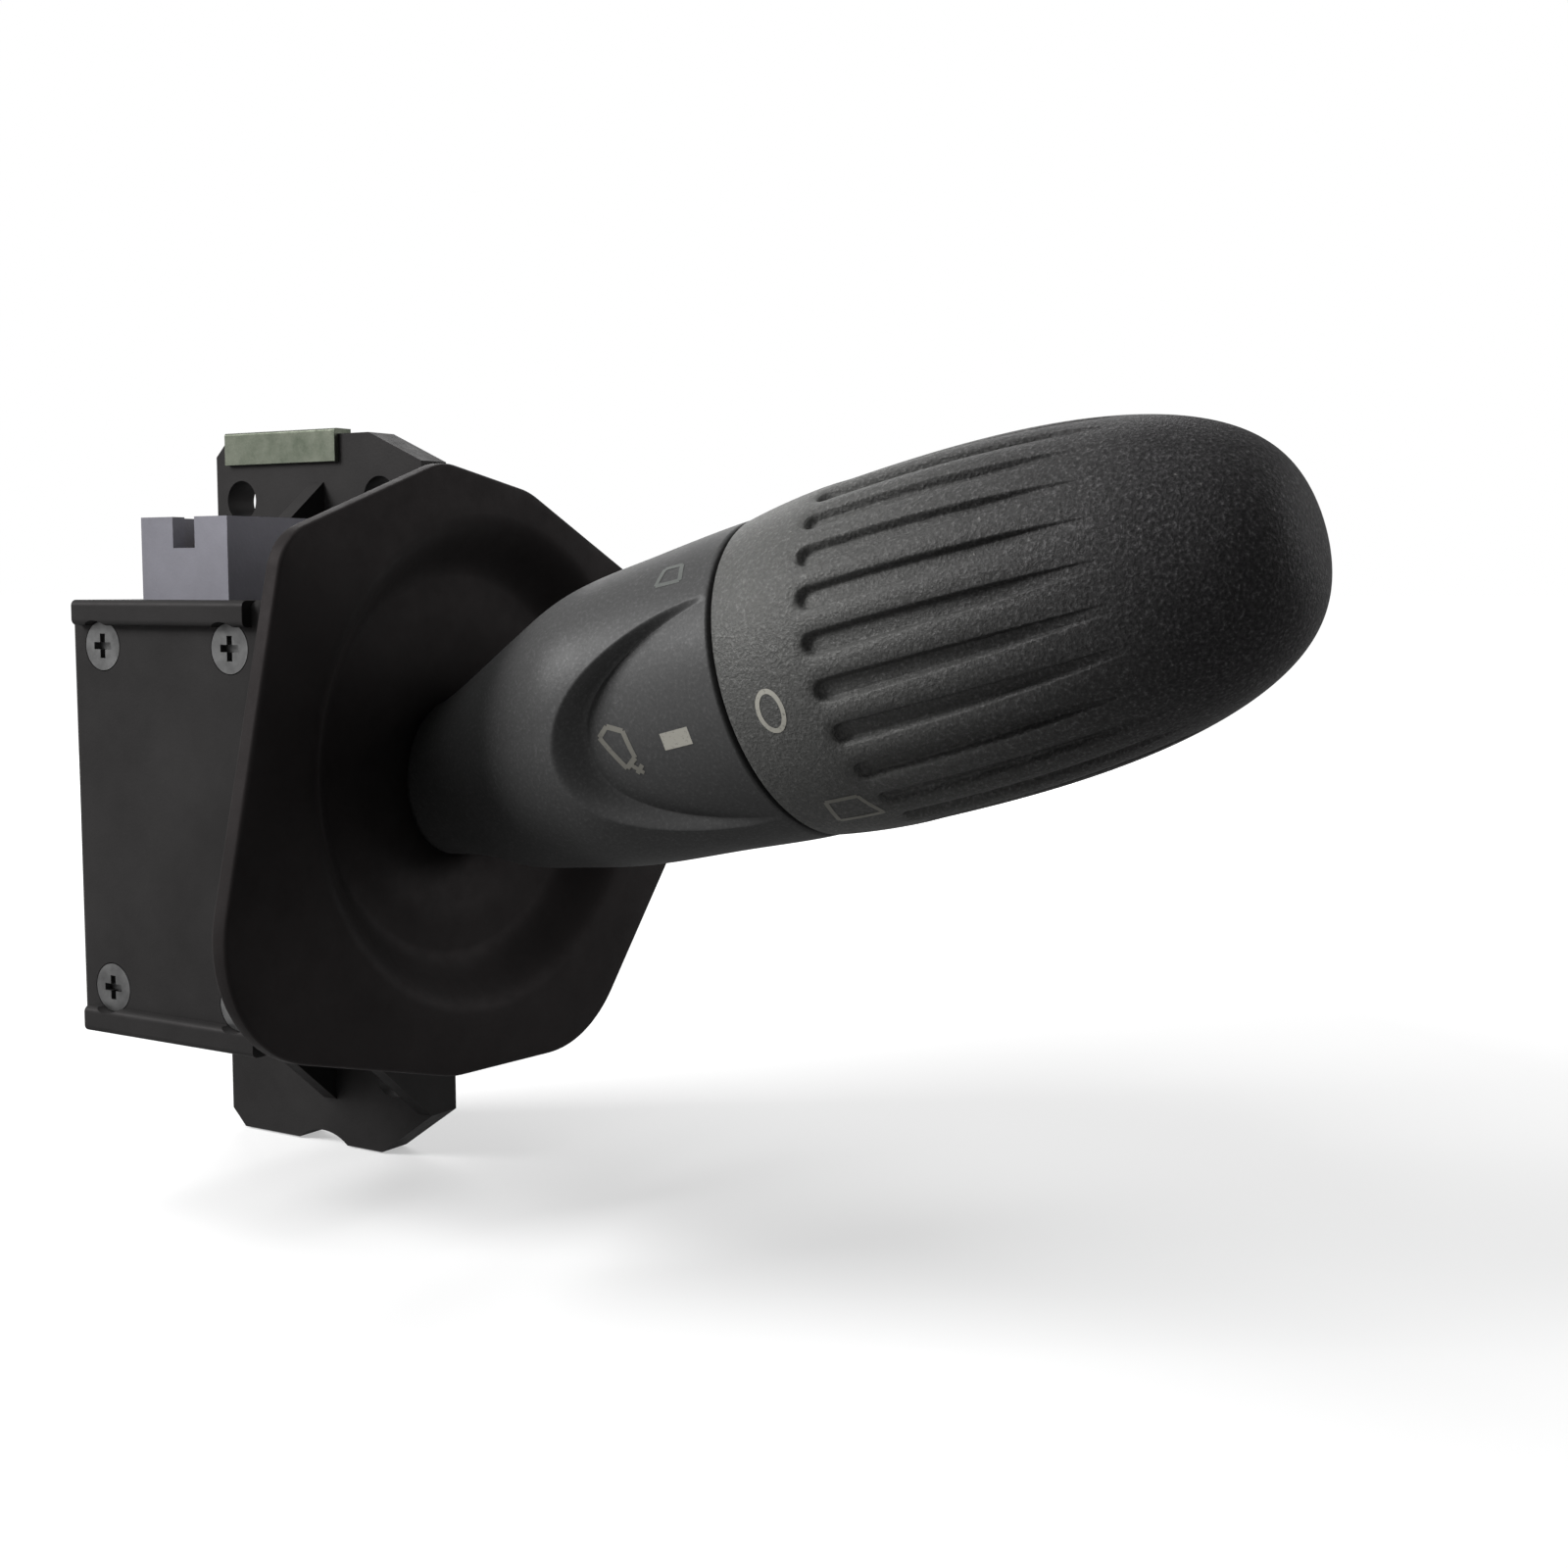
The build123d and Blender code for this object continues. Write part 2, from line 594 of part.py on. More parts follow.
# Lever core
pull_floor = BOSS_TAIL - PULL_BORE_DEPTH
lever_core = block(
    (-BOSS_TAIL, BOSS_FRONT), (-BOSS_HALF_WIDTH, BOSS_HALF_WIDTH), (-BOSS_HALF_HEIGHT, BOSS_HALF_HEIGHT)
)
lever_core += rod_x(SHAFT_RADIUS, (0.0, shaft_tip))
lever_core += rod_x(COLLAR_RADIUS, (collar_start, hub_start))
lever_core -= rod_x(SHAFT_BORE, (BOSS_FRONT, shaft_tip))
lever_core -= rod_z(PULL_PIN_RADIUS + PIVOT_GAP, (-BOSS_HALF_HEIGHT, BOSS_HALF_HEIGHT))
lever_core -= rod_x(PLUNGER_RADIUS + PIVOT_GAP, (-BOSS_TAIL, -pull_floor))
screw_x = seam - ARM_SCREW_STATION
lever_core -= rod_y(ARM_SCREW_RADIUS, (0.0, SHAFT_RADIUS), screw_x)

pull_back = pull_floor + PLUNGER_TRAVEL
pull_shoulder = pull_tip - PLUNGER_NOSE
pull_cup = pull_shoulder - PLUNGER_WALL
pull_plunger = turned_x(
    [
        (-pull_back, PLUNGER_BORE),
        (-pull_back, PLUNGER_RADIUS),
        (-pull_shoulder, PLUNGER_RADIUS),
        (-pull_tip, PLUNGER_RADIUS - PLUNGER_NOSE),
        (-pull_tip, 0.0),
        (-pull_cup, 0.0),
        (-pull_cup, PLUNGER_BORE),
    ]
)
pull_spring = spring_x(-pull_cup, -pull_floor, SPRING_RADIUS)

# Shield, upright in the housing's frame, with a hub on the tilted shaft
shield_outline = Polygon(*[(y, z) for y, z, rounding in SHIELD_CORNERS], align=None)
for corner_y, corner_z, rounding in SHIELD_CORNERS:
    corner = shield_outline.vertices().sort_by_distance((corner_y, corner_z))[0]
    shield_outline = fillet(corner, rounding)
plate_plane = Plane(origin=(rim_x - SHIELD_THICK, 0, rim_z), x_dir=(0, 1, 0), z_dir=(1, 0, 0))
shield = extrude(plate_plane * shield_outline, SHIELD_THICK)
shield -= Pos(0, 0, rim_z) * rod_x(WELL_RADIUS, (0.0, SHIELD_DISTANCE))
shield += Pos(0, 0, rim_z) * turned_x(
    [
        (rim_x, WELL_RADIUS),
        (floor_x, WELL_FLOOR_RADIUS),
        (floor_x, 0.0),
        (floor_x - SHIELD_THICK, 0.0),
        (floor_x - SHIELD_THICK, WELL_FLOOR_RADIUS + SHIELD_THICK / 2),
        (rim_x - SHIELD_THICK, WELL_RADIUS + SHIELD_THICK / 2),
        (rim_x - SHIELD_THICK / 2, WELL_RADIUS + SHIELD_THICK / 2),
    ]
)
behind_floor = block((0.0, floor_x), (-WELL_RADIUS, WELL_RADIUS), (-WELL_RADIUS, WELL_RADIUS))
shield += tilted(rod_x(HUB_RADIUS, (hub_start, SHIELD_DISTANCE))) & behind_floor
shield -= tilted(rod_x(SHAFT_RADIUS + SLIP_GAP, (hub_start, SHIELD_DISTANCE)))


# Stalk arm
def arm_section(station):
    share, near, drop, half_width, half_height = station
    plane = Plane(origin=(seam - share * ARM_LENGTH, -near, -drop), x_dir=(0, 1, 0), z_dir=(1, 0, 0))
    return plane * Ellipse(half_width, half_height)


mouth_section = Plane(origin=(mouth, 0, 0), x_dir=(0, 1, 0), z_dir=(1, 0, 0)) * Circle(KNOB_RIM_RADIUS)
stalk_arm = loft([mouth_section] + [arm_section(station) for station in ARM_STATIONS])


def face_section(depth):
    plane = Plane(origin=(mouth, -depth, 0), x_dir=(1, 0, 0), z_dir=(0, -1, 0))
    grow = depth - FACE_FOOT
    return plane * Ellipse(FACE_LENGTH + grow * FACE_RUNOUT, FACE_HALF_WIDTH + grow * FACE_FLARE)


face_core = turned_x(
    [
        (mouth, 0.0),
        (mouth, KNOB_RIM_RADIUS),
        (chamber_floor - FACE_LENGTH, KNOB_RIM_RADIUS - FACE_SLOPE * (mouth - chamber_floor + FACE_LENGTH)),
        (chamber_floor - FACE_LENGTH, 0.0),
    ]
)
face_cut = loft([face_section(FACE_FOOT), face_section(FACE_TOP)]) - face_core
stalk_arm -= around_x(face_cut, FACE_TURN)
stalk_arm -= rod_x(arm_chamber, (chamber_floor, mouth))
stalk_arm -= rod_x(SHAFT_RADIUS + SLIP_GAP, (0.0, mouth))
stalk_arm -= rod_y(ARM_SCREW_RADIUS + STEP_GAP, (0.0, KNOB_RADIUS), screw_x)
stalk_arm -= rod_y(ARM_SCREW_HEAD + STEP_GAP, (ARM_SCREW_SEAT, KNOB_RADIUS), screw_x)
stalk_arm = tilted(stalk_arm) - behind_floor

arm_screw = rod_y(ARM_SCREW_RADIUS, (SHAFT_BORE + STEP_GAP, ARM_SCREW_SEAT), screw_x)
screw_top = ARM_SCREW_SEAT + HEAD_DEPTH
arm_screw += rod_y(ARM_SCREW_HEAD, (ARM_SCREW_SEAT, screw_top), screw_x)
arm_screw -= block(
    (screw_x - ARM_SCREW_HEAD, screw_x + ARM_SCREW_HEAD),
    (screw_top - RECESS_WIDTH, screw_top),
    (-RECESS_WIDTH / 2, RECESS_WIDTH / 2),
)

# Knob bearing in the arm's mouth
ball_x = rotor_face + TRACK_GROOVE - RUN_GAP - BALL_RADIUS
well_floor = flange_end - BALL_WELL
well_radius = BALL_RADIUS + PIVOT_GAP
spindle = rod_x(SPINDLE_RADIUS, (spindle_start, spindle_end))
spindle += rod_x(arm_chamber - SLIP_GAP, (flange_start, flange_end))
spindle += rod_x(well_radius + BALL_WELL_WALL, (well_floor - BALL_WELL_WALL, flange_start), 0.0, ball_circle)
spindle -= rod_x(SPINDLE_BORE, (spindle_start, spindle_end))
spindle -= rod_x(well_radius, (well_floor, flange_end), 0.0, ball_circle)
clip_seat = SPINDLE_RADIUS - CLIP_DEPTH
ring_x = (clip_start, clip_start + CLIP)
spindle -= rod_x(SPINDLE_RADIUS, ring_x) - rod_x(clip_seat, ring_x)

lead_path = FilletPolyline(
    (BOSS_FRONT + LEAD_BEND, 0, -LEAD_CIRCLE),
    (shaft_tip, 0, -LEAD_CIRCLE),
    (shaft_tip + 2 * LEAD_BEND, 0, -ball_circle),
    (flange_end, 0, -ball_circle),
    radius=LEAD_BEND,
)
lead_section = Plane(origin=lead_path @ 0, z_dir=lead_path % 0) * Circle(LEAD_RADIUS)
lead = sweep(lead_section, path=lead_path)
leads = [around_x(lead, (index - (LEADS - 1) / 2) * LEAD_SPREAD) for index in range(LEADS)]
knob_leads = group(leads)
for wire in leads:
    spindle -= wire

knob_board = rod_x(arm_chamber - SLIP_GAP, (flange_end, board_end))
knob_board -= rod_x(SPINDLE_RADIUS + SLIP_GAP, (flange_end, board_end))
knob_board -= rod_x(well_radius + STEP_GAP, (flange_end, board_end), 0.0, ball_circle)

detent_ball = Pos(ball_x, 0, ball_circle) * Sphere(BALL_RADIUS)
ball_spring = spring_x(well_floor, ball_x - BALL_RADIUS, SPRING_RADIUS, 0.0, ball_circle)

retaining_clip = rod_x(clip_outer, ring_x) - rod_x(clip_seat, ring_x)
retaining_clip -= block(ring_x, (-CLIP_DEPTH, CLIP_DEPTH), (-clip_outer, 0.0))

# Pieces that turn with the knob
rotor_bore = SPINDLE_RADIUS + PIVOT_GAP
knob_rotor = rod_x(rotor_rim, (rotor_face, rotor_step))
knob_rotor += rod_x(ROTOR_RADIUS, (rotor_step, rotor_end))
key_out = ROTOR_RADIUS + KEY_HEIGHT
key_x = (rotor_step, rotor_end - KEY_WIDTH)
key = block(key_x, (-KEY_WIDTH / 2, KEY_WIDTH / 2), (-key_out, key_out))
knob_rotor += key
knob_rotor -= rod_x(rotor_bore, (rotor_face, rotor_end))
groove = rod_x(ball_circle + well_radius, (rotor_face, rotor_face + TRACK_GROOVE))
groove -= rod_x(ball_circle - well_radius, (rotor_face, rotor_face + TRACK_GROOVE))
knob_rotor -= groove
for step in range(KNOB_STEPS + 1):
    dimple = rod_x(BALL_RADIUS / 2, (rotor_face, rotor_face + 2 * TRACK_GROOVE), 0.0, ball_circle)
    knob_rotor -= around_x(dimple, step * KNOB_STEP)

brush_x = (rotor_face - BRUSH, rotor_face)
knob_brush = rod_x(brush_outer, brush_x) - rod_x(brush_inner, brush_x)
brush_circle = (brush_inner + brush_outer) / 2
wiper = rod_x(BRUSH, (board_end + STEP_GAP, rotor_face - BRUSH), 0.0, -brush_circle)
for index in range(WIPERS):
    knob_brush += around_x(wiper, (index - (WIPERS - 1) / 2) * WIPER_SPREAD)

profile_stations = [0.0, KNOB_BELLY / 2, KNOB_BELLY]
profile_stations += [KNOB_BELLY + (KNOB_LENGTH - KNOB_BELLY) * share for share in NOSE_STATIONS]
profile = Spline(
    *[(seam + s, knob_radius(s), 0) for s in profile_stations],
    tangents=[(KNOB_BELLY, 2 * (KNOB_RADIUS - KNOB_RIM_RADIUS), 0), (0, -1, 0)],
)
knob_outline = make_face(
    [
        profile,
        Line(profile @ 1, (seam, 0, 0)),
        Line((seam, 0, 0), profile @ 0),
    ]
)
knob = revolve(knob_outline, Axis.X)
knob -= rod_x(KNOB_RIM_RADIUS + KNOB_WALL, (seam - SEAM_GAP, knob_mouth))


def flute_section(share):
    s = FLUTE_START + (FLUTE_END - FLUTE_START) * share
    size = FLUTE_RADIUS + (FLUTE_TIP_RADIUS - FLUTE_RADIUS) * share**2
    lift = size * (FLUTE_LIFT + FLUTE_RUNOUT * share**3)
    plane = Plane(origin=(seam + s, 0, knob_radius(s) + lift), x_dir=(0, 1, 0), z_dir=(1, 0, 0))
    return plane * Circle(size)


flute = loft([flute_section(share) for share in FLUTE_STATIONS])
flute_top = knob_radius(FLUTE_START) + FLUTE_LIFT * FLUTE_RADIUS
flute += Pos(seam + FLUTE_START, 0, flute_top) * Sphere(FLUTE_RADIUS)
for index in range(FLUTES):
    knob -= around_x(flute, FLUTE_TURN + index * 360 / FLUTES)
tight = (hub_out + KNOB_WALL + HUB_ROOM) / KNOB_RADIUS
hollow_end = KNOB_BELLY
hollow_end += (KNOB_LENGTH - KNOB_BELLY) * max(0.0, 1 - tight ** (1 / NOSE_ROOT)) ** (1 / NOSE_POWER)
hollow_marks = [hollow_end * index / HOLLOW_STEPS for index in range(HOLLOW_STEPS + 1)]
hollow = [(seam + s, knob_radius(s) - KNOB_WALL) for s in hollow_marks]
hollow += [(seam + hollow_end, hub_out), (rotor_step + RUN_GAP, hub_out)]
hollow += [(rotor_step + RUN_GAP, 0.0), (seam, 0.0)]
knob -= turned_x(hollow)
knob -= rod_x(arm_chamber, (seam, rotor_step + RUN_GAP))
knob -= rod_x(hub_bore, (rotor_step, rotor_end))
knob -= rod_x(hub_bore - SLIP_GAP, (rotor_end, spindle_end + RUN_GAP))
knob -= block(
    (key_x[0], key_x[1] + SLIP_GAP),
    (-KEY_WIDTH / 2 - SLIP_GAP, KEY_WIDTH / 2 + SLIP_GAP),
    (-key_out - SLIP_GAP, key_out + SLIP_GAP),
)
spoke = block(
    (rotor_step + RUN_GAP, seam + hollow_end),
    (hub_out - HUB_WALL / 2, KNOB_RIM_RADIUS - KNOB_WALL / 2),
    (-HUB_WALL / 2, HUB_WALL / 2),
)
for index in range(SPOKES):
    knob += around_x(spoke, index * 360 / SPOKES) & revolve(knob_outline, Axis.X)

# Write every node
upright = {
    "housing_base": base,
    "housing_cover": cover,
    "housing_screws": housing_screws,
    "lug_plate": lug_plate,
    "connector_shroud": connector,
    "terminal_pins": terminal_pins,
    "contact_board": contact_board,
    "contact_tracks": contact_tracks,
    "detent_cam": detent_cam,
    "pivot_bushes": pivot_bushes,
    "speed_slider": speed_slider,
    "slider_contacts": slider_contacts,
    "shield": shield,
    "stalk_arm": stalk_arm,
}
along_stalk = {
    "yoke": yoke,
    "pull_pin": pull_pin,
    "lift_plunger": lift_plunger,
    "lift_spring": lift_spring,
    "lever_core": lever_core,
    "arm_screw": arm_screw,
    "pull_plunger": pull_plunger,
    "pull_spring": pull_spring,
    "knob_spindle": spindle,
    "knob_board": knob_board,
    "knob_leads": knob_leads,
    "detent_ball": detent_ball,
    "ball_spring": ball_spring,
    "retaining_clip": retaining_clip,
    "knob_rotor": knob_rotor,
    "knob_brush": knob_brush,
    "knob": knob,
}
nodes = dict(upright)
for name, shape in along_stalk.items():
    nodes[name] = tilted(shape)

os.makedirs("parts", exist_ok=True)
for name, shape in nodes.items():
    export_step(Pos(PIVOT_X, -pivot_depth, 0) * shape, "parts/" + name + ".step")
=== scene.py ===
import json
from math import cos, pi, radians, sin, tan

import bpy
import numpy as np
from mathutils import Matrix, Vector

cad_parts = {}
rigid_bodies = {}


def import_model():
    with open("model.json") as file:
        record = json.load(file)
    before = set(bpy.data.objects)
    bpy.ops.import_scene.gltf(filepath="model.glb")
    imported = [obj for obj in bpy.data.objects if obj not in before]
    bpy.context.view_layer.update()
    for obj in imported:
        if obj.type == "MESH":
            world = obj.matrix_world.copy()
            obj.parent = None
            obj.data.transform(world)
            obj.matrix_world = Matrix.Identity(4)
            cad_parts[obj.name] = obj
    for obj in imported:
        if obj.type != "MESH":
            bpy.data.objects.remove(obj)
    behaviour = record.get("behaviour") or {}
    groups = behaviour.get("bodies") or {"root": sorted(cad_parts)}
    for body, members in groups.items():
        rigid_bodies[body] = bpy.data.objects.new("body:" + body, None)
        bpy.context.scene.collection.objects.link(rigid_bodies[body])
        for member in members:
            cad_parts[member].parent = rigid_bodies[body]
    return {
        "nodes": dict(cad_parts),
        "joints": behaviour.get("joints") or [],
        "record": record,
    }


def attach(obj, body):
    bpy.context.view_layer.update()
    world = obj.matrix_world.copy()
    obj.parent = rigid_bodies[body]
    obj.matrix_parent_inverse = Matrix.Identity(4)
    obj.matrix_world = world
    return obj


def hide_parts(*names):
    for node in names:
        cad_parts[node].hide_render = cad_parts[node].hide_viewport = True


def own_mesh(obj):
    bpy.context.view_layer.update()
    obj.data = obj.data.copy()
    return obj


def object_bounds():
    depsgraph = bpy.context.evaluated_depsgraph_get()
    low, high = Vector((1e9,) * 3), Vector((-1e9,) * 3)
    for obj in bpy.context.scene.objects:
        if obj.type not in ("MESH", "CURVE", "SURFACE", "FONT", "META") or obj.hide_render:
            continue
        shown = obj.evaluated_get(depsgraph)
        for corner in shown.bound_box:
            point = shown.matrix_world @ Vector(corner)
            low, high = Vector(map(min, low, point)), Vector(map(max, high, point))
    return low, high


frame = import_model()
cad_low, cad_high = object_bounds()

# Looks of the combination stalk switch. The object's lengths are millimetres, turned into metres for a mesh
MM = 0.001

# Places taken from the frame: the seam between arm and knob, and the stalk's own directions
joints = {joint["name"]: joint for joint in frame["joints"]}
PIVOT = np.array(joints["stalk_lift"]["pos_m"]) / MM
SEAM = np.array(joints["knob_twist"]["pos_m"]) / MM
ALONG = -np.array(joints["knob_twist"]["axis"])
NEAR = np.array((0.0, -1.0, 0.0))
DOWN = np.cross(ALONG, NEAR)
RISE = np.arctan2(ALONG[2], ALONG[0])
SEAM_GAP = 0.4
MOUTH = SEAM_GAP / 2

# Camera: direction from the object, distance to the seam, where the seam lies in the picture
VIEW_AZIMUTH = 31.9
VIEW_ELEVATION = 5.5
VIEW_DISTANCE = 178.0
PICTURE = 1600
FOCAL_PIXELS = 2100.0
SEAM_PIXEL = (822.0, 689.0)
SENSOR = 36.0
CLIP_START = 5.0

# Knob
KNOB_LENGTH = 46.0
KNOB_RADIUS = 14.75
KNOB_RIM_RADIUS = 14.1
KNOB_BELLY = 9.0
NOSE_POWER = 2.5
NOSE_ROOT = 0.34
KNOB_WALL = 2.4
KNOB_EDGE = 0.35
HUB_RADIUS = 9.65
HUB_BORE = 8.05
HUB_START = 2.65
HUB_END = 31.85
HOLLOW_END = 30.9

# Flutes: floor and lip are in half widths from the middle, and the fade starts at a share of the length
FLUTES = 24
FLUTE_PITCH = 360.0 / FLUTES
FLUTE_PHASE = -2.4
FLUTE_START = 9.9
FLUTE_END = 35.0
FLUTE_HALF = 1.05
FLUTE_TIP_HALF = 0.4
FLUTE_TAPER = 1.5
FLUTE_DEPTH = 0.9
FLUTE_FLOOR = 0.62
FLUTE_LIP = 1.03
FLUTE_FADE = 0.55
FLUTE_CROWN = 0.16

# The knob's mesh: columns across a flute in half widths, then steps up to the middle of the ridge
FLUTE_STEPS = (0.0, 0.3, 0.5, 0.58, 0.66, 0.74, 0.82, 0.9, 0.98, 1.06, 1.2)
RIDGE_STEPS = 4
# Rings of the mesh as (start, end, count) past the seam: plain ring, round ends of the flutes, flutes
KNOB_RINGS = [
    (MOUTH + KNOB_EDGE, FLUTE_START - 1.6, 12),
    (FLUTE_START - 1.45, FLUTE_START + 0.1, 20),
    (FLUTE_START + 0.5, FLUTE_END + 1.0, 72),
]
NOSE_START = FLUTE_END + 1.4
NOSE_RINGS = 48
EDGE_STEPS = 4

# Arm: distance behind the seam, offset to the driver, drop, half width, half height
ARM_STATIONS = [
    (0.0, 0.0, 0.0, 14.1, 14.1),
    (9.1, 0.5, 0.05, 14.1, 13.5),
    (18.2, 1.2, 0.25, 13.9, 12.6),
    (24.8, 1.0, 0.6, 12.2, 11.3),
    (32.5, 0.6, 0.9, 9.7, 9.6),
    (38.0, 0.3, 0.6, 7.9, 7.9),
    (43.8, 0.0, 0.3, 6.9, 6.9),
]
ARM_SWELL = 0.055
ARM_SWELL_LENGTH = 34.0
ARM_SHOULDER_POWER = 1.5
ARM_EDGE = 0.3
ARM_BORE = 5.05
ARM_CHAMBER_RADIUS = 11.2
ARM_CHAMBER_DEPTH = 13.5
ARM_BLEND = 34.0
SCREW_STATION = 27.5
SCREW_HOLE = 2.3
SCREW_HOLE_SIDES = 64
SCREW_SEAT = 7.6

# Sign face: the slanted scoop in the arm, with the turn of its middle
FACE_TURN = 13.0
FACE_LENGTH = 17.3
FACE_HALF_WIDTH = 9.9
FACE_SLOPE = 0.085
# The wall around the sign face, in shares of its size: foot at the point and at the sides, and top
FACE_POINT_FOOT = 0.86
FACE_SIDE_FOOT = 0.96
FACE_TOP = 1.01
FACE_POINT_POWER = 6
# Stand-ins at the middle of the face, and on the arm's far side, where the face isn't
FACE_LEAST = 0.1
FACE_FAR = 10 * FACE_HALF_WIDTH

# The arm's mesh: columns across the sign face and around the rest, and rings as on the knob
ARM_FACE_TURNS = (-52.0, 78.0)
ARM_FACE_COLUMNS = 440
ARM_PLAIN_COLUMNS = 180
ARM_FOOT_RINGS = 15
ARM_RINGS = [
    (-ARM_BLEND, -FACE_LENGTH - 1.0, 28),
    (-FACE_LENGTH - 0.8, -MOUTH - ARM_EDGE, 140),
]

# Shield: corners of the plate, away from the driver and above the shaft, each with its rounding
SHIELD_DISTANCE = 24.0
SHIELD_CORNERS = [
    (-36.5, -21.4, 12.0),
    (-5.8, -29.3, 12.0),
    (15.0, -30.0, 13.0),
    (33.5, -7.8, 9.0),
    (33.5, 13.2, 9.0),
    (6.5, 26.3, 9.0),
    (-6.0, 28.6, 6.0),
    (-26.4, 21.4, 5.0),
]
CORNER_STEPS = 16
SHIELD_THICK = 1.8
SHIELD_COLUMNS = 360
SHIELD_EDGE = 0.4
SHIELD_EDGE_STEPS = 5
SHIELD_RIM_RINGS = 5
WELL_DEPTH = 4.0
WELL_RADIUS = 23.0
WELL_FLOOR_RADIUS = 19.0
WELL_ROUND = 1.0
WELL_LOW = WELL_FLOOR_RADIUS - WELL_ROUND
WELL_HIGH = WELL_RADIUS + WELL_ROUND
WELL_RINGS = 14
SHIELD_HUB = 7.5
SHIELD_HUB_REACH = 2.0

# Printed signs: distance past the seam and turn of each, and sizes along and around the stalk
PRINT_LIFT = 0.03
SIGN_LINE = 0.42
SIGN_STEP = 0.25
RING_STEPS = 48
ZERO_SPOT = (4.6, 14.0)
ZERO_RADII = (1.15, 1.6)
REAR_WINDOW_SPOT = (6.2, 57.5)
REAR_WINDOW_SIZE = (4.3, 3.0)
FRONT_WINDOW_SPOT = (-4.5, -44.5)
FRONT_WINDOW_SIZE = (2.4, 2.0)
# Half of a window's top edge, as a share of its foot
WINDOW_TOP = 0.36
INDEX_SPOT = (-5.6, 15.0)
INDEX_LINE = [(-1.5, 0.0), (1.5, 0.0)]
INDEX_WIDTH = 1.55
WASHER_SPOT = (-12.0, 13.5)
WASHER_SCREEN = [(-1.5, 1.5), (-0.4, 2.3), (1.2, 1.5), (1.5, -1.1), (0.2, -1.9)]
WASHER_SCREEN_LINE = 0.5
WASHER_SPRAY = [(0.6, -1.5), (1.7, -2.7)]
WASHER_SPRAY_BAR = [(1.0, -2.6), (1.9, -1.9)]


def smooth_step(low, high, value):
    share = np.clip((value - low) / (high - low), 0.0, 1.0)
    return share * share * (3 - 2 * share)


def unit(vector):
    return vector / np.linalg.norm(vector)


def spaced(spans):
    """Evenly spaced places over each (start, end, count), one span after the other."""
    return np.concatenate([np.linspace(*span) for span in spans])


def on_stalk(along, turn, radius):
    """Points at a distance past the seam, turned from the driver's side towards down, in degrees."""
    turn = np.radians(turn)
    along, turn, radius = np.broadcast_arrays(along, turn, radius)
    across = np.cos(turn)[..., None] * NEAR + np.sin(turn)[..., None] * DOWN
    return SEAM + along[..., None] * ALONG + radius[..., None] * across


# Meshes
def new_object(name, vertices, faces):
    mesh = bpy.data.meshes.new(name)
    mesh.from_pydata(vertices, [], faces)
    mesh.validate()
    mesh.shade_smooth()
    piece = bpy.data.objects.new(name, mesh)
    bpy.context.scene.collection.objects.link(piece)
    return piece


def skin(name, rings, wrapped=False):
    """One closed skin over rings of points: the ends meet in a pole, or the last ring joins the first."""
    columns = rings[0].shape[0]
    vertices = (np.concatenate(rings) * MM).tolist()
    faces = []
    pairs = [(k, k + 1) for k in range(len(rings) - 1)]
    if wrapped:
        pairs.append((len(rings) - 1, 0))
    for low, high in pairs:
        for column in range(columns):
            after = (column + 1) % columns
            lower = (low * columns + column, low * columns + after)
            upper = (high * columns + after, high * columns + column)
            faces.append(lower + upper)
    if not wrapped:
        for ring, flipped in ((0, True), (len(rings) - 1, False)):
            pole = len(vertices)
            vertices.append((rings[ring].mean(0) * MM).tolist())
            for column in range(columns):
                after = (column + 1) % columns
                edge = (ring * columns + column, ring * columns + after)
                faces.append((edge[1], edge[0], pole) if flipped else (edge[0], edge[1], pole))
    return new_object(name, vertices, faces)


def outward(piece):
    """Turns the faces so that the skin's normals point out."""
    bpy.context.view_layer.objects.active = piece
    piece.select_set(True)
    bpy.ops.object.mode_set(mode="EDIT")
    bpy.ops.mesh.select_all(action="SELECT")
    bpy.ops.mesh.normals_make_consistent(inside=False)
    bpy.ops.object.mode_set(mode="OBJECT")
    piece.select_set(False)
    return piece


def give(piece, material):
    piece.data.materials.clear()
    piece.data.materials.append(material)


# Knob
def knob_radius(along):
    along = np.asarray(along, float)
    rim = KNOB_RADIUS - (KNOB_RADIUS - KNOB_RIM_RADIUS) * ((KNOB_BELLY - along) / KNOB_BELLY) ** 2
    reach = np.clip((along - KNOB_BELLY) / (KNOB_LENGTH - KNOB_BELLY), 0.0, 1.0)
    nose = KNOB_RADIUS * (1 - reach**NOSE_POWER) ** NOSE_ROOT
    return np.where(along < KNOB_BELLY, rim, nose)


def nose_place(share):
    """Distance past the seam at which the nose has narrowed to a share of the knob's radius."""
    reach = (1 - share ** (1 / NOSE_ROOT)) ** (1 / NOSE_POWER)
    return KNOB_BELLY + (KNOB_LENGTH - KNOB_BELLY) * reach


def flute_share(along):
    return np.clip((along - FLUTE_START) / (FLUTE_END - FLUTE_START), 0.0, 1.0)


def flute_half(along):
    return FLUTE_HALF + (FLUTE_TIP_HALF - FLUTE_HALF) * flute_share(along) ** FLUTE_TAPER


